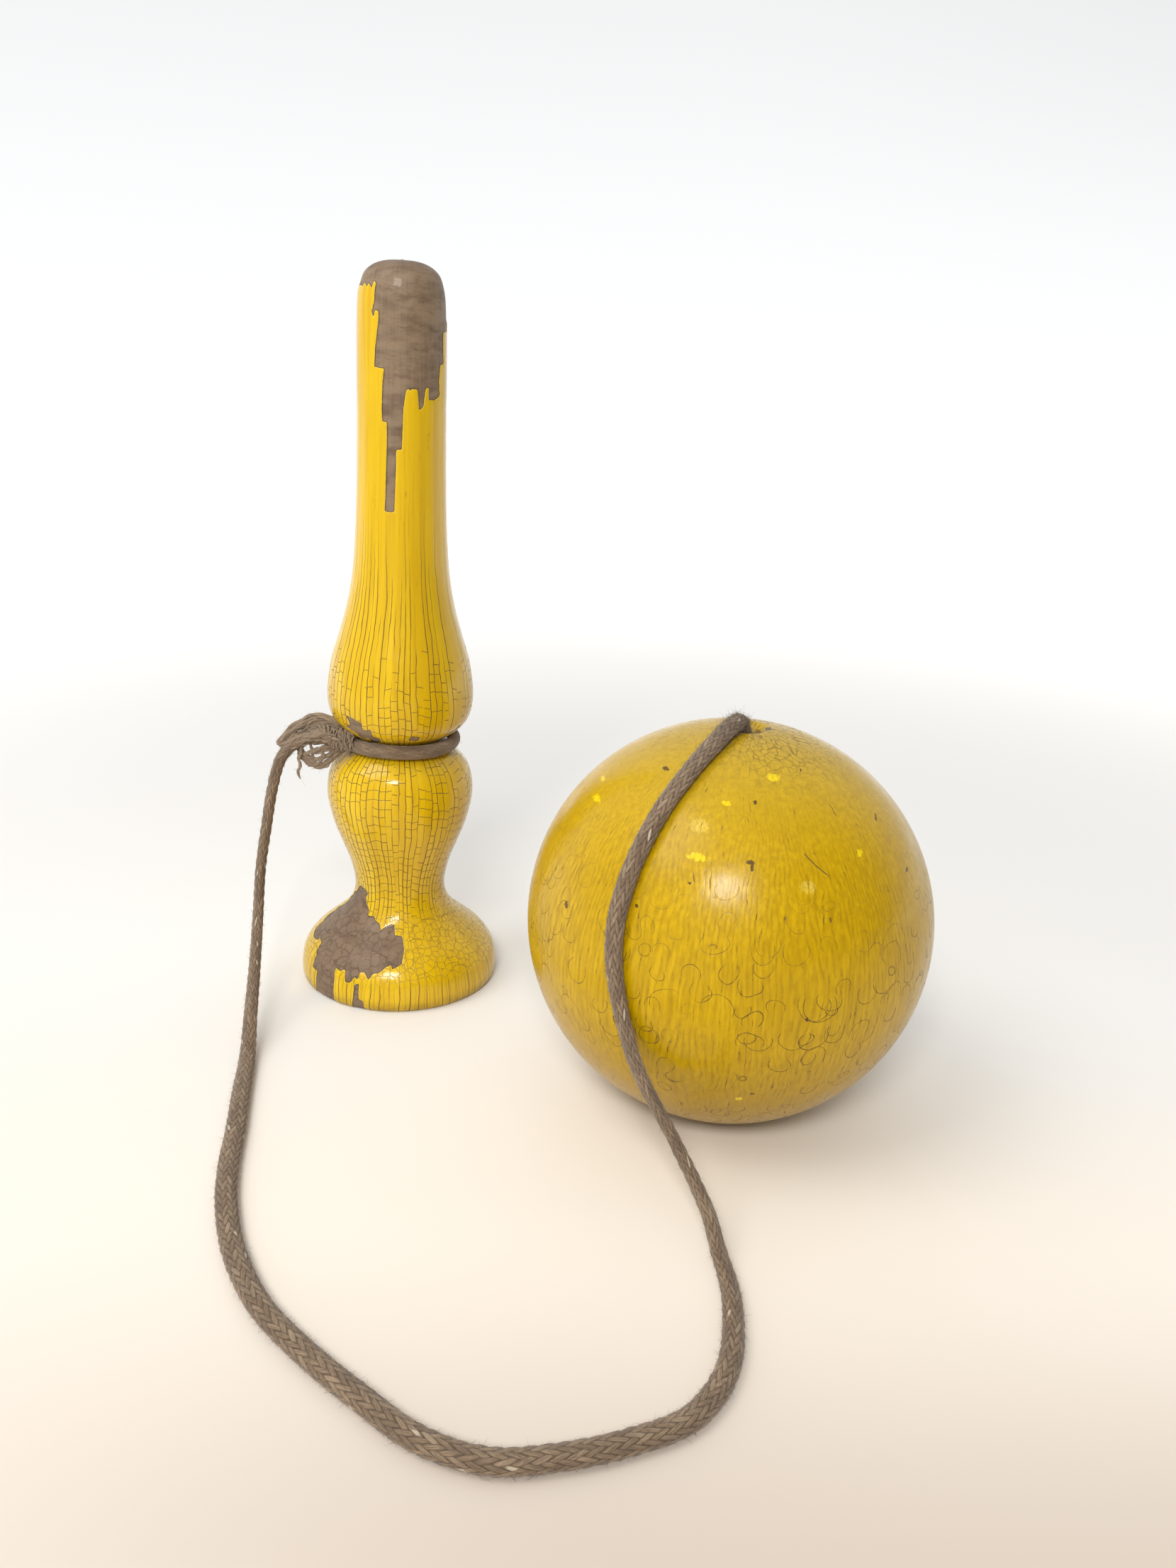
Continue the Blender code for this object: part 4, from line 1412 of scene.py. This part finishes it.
def paint_ball():
    made = Finish("ball_paint")
    lay = made.attribute("lay", "Vector")
    x, y, _ = made.split(lay)
    level = made.math("SQRT", made.plus(made.times(x, x), made.times(y, y)))
    uneven = made.noise(lay, (2.1, 2.1, 1.7), 3, 0.65)
    faint, marks = ball_scratches(made, lay, level, uneven)
    nicks = ball_nicks(made, lay, uneven)
    paint = made.layered(
        ball_yellow(made, lay, uneven),
        (faint, (0.30, 0.165, 0.002)),
        (marks, (0.10, 0.055, 0.010)),
        (made.times(nicks, 0.9), (0.085, 0.045, 0.016)),
    )
    wood = made.mix(made.noise(lay, (0.8, 0.8, 0.15), 4, 0.6), (0.10, 0.055, 0.03), (0.26, 0.16, 0.09))
    is_bare = ball_bareness(made, lay, level)
    satin = made.step(made.noise(lay, (0.12, 0.12, 0.12), 3), 0.3, 0.7, 0.21, 0.29)
    satin = made.plus(satin, made.times(marks, 0.3))
    swell = made.times(made.noise(lay, (0.5, 0.5, 0.16), 3), 0.06)
    cut = made.plus(made.times(marks, 0.05), made.plus(made.times(nicks, 0.10), made.times(faint, 0.03)))
    height = made.minus(swell, made.plus(cut, made.times(is_bare, 0.12)))
    made.surface(
        {
            "Base Color": made.mix(is_bare, paint, wood),
            "Roughness": made.between(is_bare, satin, 0.7),
            "Specular IOR Level": 0.28,
            "Normal": made.bump(height, 0.7),
        }
    )
    return made


COTTON_SHEEN = {"Sheen Weight": 0.25, "Sheen Roughness": 0.5}


def braid_strands(made, u, v):
    """The braid's height, 0 to 1, and for the strand on top its number, its direction, and the place
    across it and along it."""
    one, other = made.plus(u, v), made.minus(u, v)
    one_index, other_index = made.math("FLOOR", one), made.math("FLOOR", other)
    state = made.math("FLOORED_MODULO", made.plus(one_index, other_index), 4)
    first_on_top = made.math("LESS_THAN", state, 1.5)
    parts = (made.math("FRACT", one), made.math("FRACT", other))
    heights = []
    for across, run, begin in ((parts[0], parts[1], 0), (parts[1], parts[0], 2)):
        crown = made.math("SINE", made.times(across, math.pi))
        reach = made.times(made.plus(made.minus(state, begin), run), math.pi / 2)
        arch = made.plus(made.times(made.math("SINE", reach), 0.6), 0.4)
        heights.append(made.times(crown, arch))
    height = made.between(first_on_top, heights[1], heights[0])
    number = made.between(first_on_top, other_index, one_index)
    across = made.between(first_on_top, other, one)
    along = made.between(first_on_top, one, other)
    return height, number, first_on_top, across, along


def braid_cotton(name, depth, worn):
    """Braided cotton: its strands, with painted shade between them by depth and all over by worn."""
    made = Finish(name)
    u, v, _ = made.split(made.add("ShaderNodeUVMap", uv_map="braid").outputs[0])
    height, number, direction, across, along = braid_strands(made, u, v)
    strand = made.chance(made.math("FLOORED_MODULO", number, STRANDS), direction)
    run = made.joined(made.times(across, 7), made.times(along, 0.9), strand)
    fibre = made.noise(run, (1, 1, 1), 3, 0.65)
    patch = made.noise(made.joined(made.times(u, 0.45), made.times(v, 0.25), 0), (1, 1, 1), 3, 0.6)
    pale = made.chance(made.math("FLOOR", made.times(along, 0.5)), number, direction)
    pale = made.times(made.math("GREATER_THAN", pale, 0.985), made.step(height, 0.45, 0.7, 0, 0.7))
    cotton = made.layered(
        made.mix(made.step(fibre, 0.25, 0.75), (0.145, 0.098, 0.060), (0.385, 0.278, 0.182)),
        (made.step(strand, 0.55, 1.0, 0, 0.60), (0.40, 0.300, 0.205)),
        (made.step(strand, 0.40, 0.0, 0, 0.45), (0.13, 0.085, 0.055)),
        (made.step(patch, 0.42, 0.66, 0, 0.55), (0.145, 0.098, 0.066)),
        # Painted shade in the hollows between strands, stronger with depth.
        (made.step(height, 0.48, 0.10, 0, 0.62 * depth), (0.055, 0.036, 0.024)),
        (pale, (0.60, 0.52, 0.40)),
        # Painted shade over the whole braid, by the share given as worn.
        (worn, (0.085, 0.058, 0.040)),
    )
    relief = made.plus(made.times(height, 0.13 * depth), made.times(fibre, 0.09))
    made.surface({"Base Color": cotton, "Roughness": 0.9, "Specular IOR Level": 0.15, **COTTON_SHEEN})
    made.surface({"Normal": made.bump(relief, 0.8)})
    return made


def loose_cotton():
    """The cord's unlaid yarns: fine fibres that turn round each yarn."""
    made = Finish("cotton_yarn")
    lay = made.attribute("fibre", "Vector")
    fibre = made.noise(lay, (2.6, 2.6, 0.35), 4, 0.7)
    patch = made.noise(lay, (0.9, 0.9, 0.25), 2)
    cotton = made.mix(made.step(fibre, 0.28, 0.72), (0.205, 0.142, 0.094), (0.44, 0.335, 0.235))
    cotton = made.mix(made.step(patch, 0.40, 0.68, 0, 0.5), cotton, (0.17, 0.118, 0.078))
    made.surface({"Base Color": cotton, "Roughness": 0.95, "Specular IOR Level": 0.1, **COTTON_SHEEN})
    made.surface({"Normal": made.bump(made.times(fibre, 0.14), 0.8)})
    return made


# ---------------------------------------------------------------- main


def main():
    make_camera()
    cotton = braid_cotton("cotton_braid", 1.0, 0.0)
    # The loop in the groove gets a darker copy of the braid's cotton: painted shade.
    shaded_felt = braid_cotton("cotton_felt", 0.35, 0.20)
    yarn = loose_cotton()
    cord, line, section = build_free_cord(cotton)
    lengths = distances(line)
    build_neck_loop(shaded_felt)
    yarns = build_hitch(yarn)
    build_stop_knot(cotton)
    build_cord_fuzz(line, section, cord_bend(line, lengths), yarn)
    build_hitch_fuzz(yarns, yarn)
    build_handle(paint_handle())
    build_ball(paint_ball())
    build_stage()
    build_light()


main()
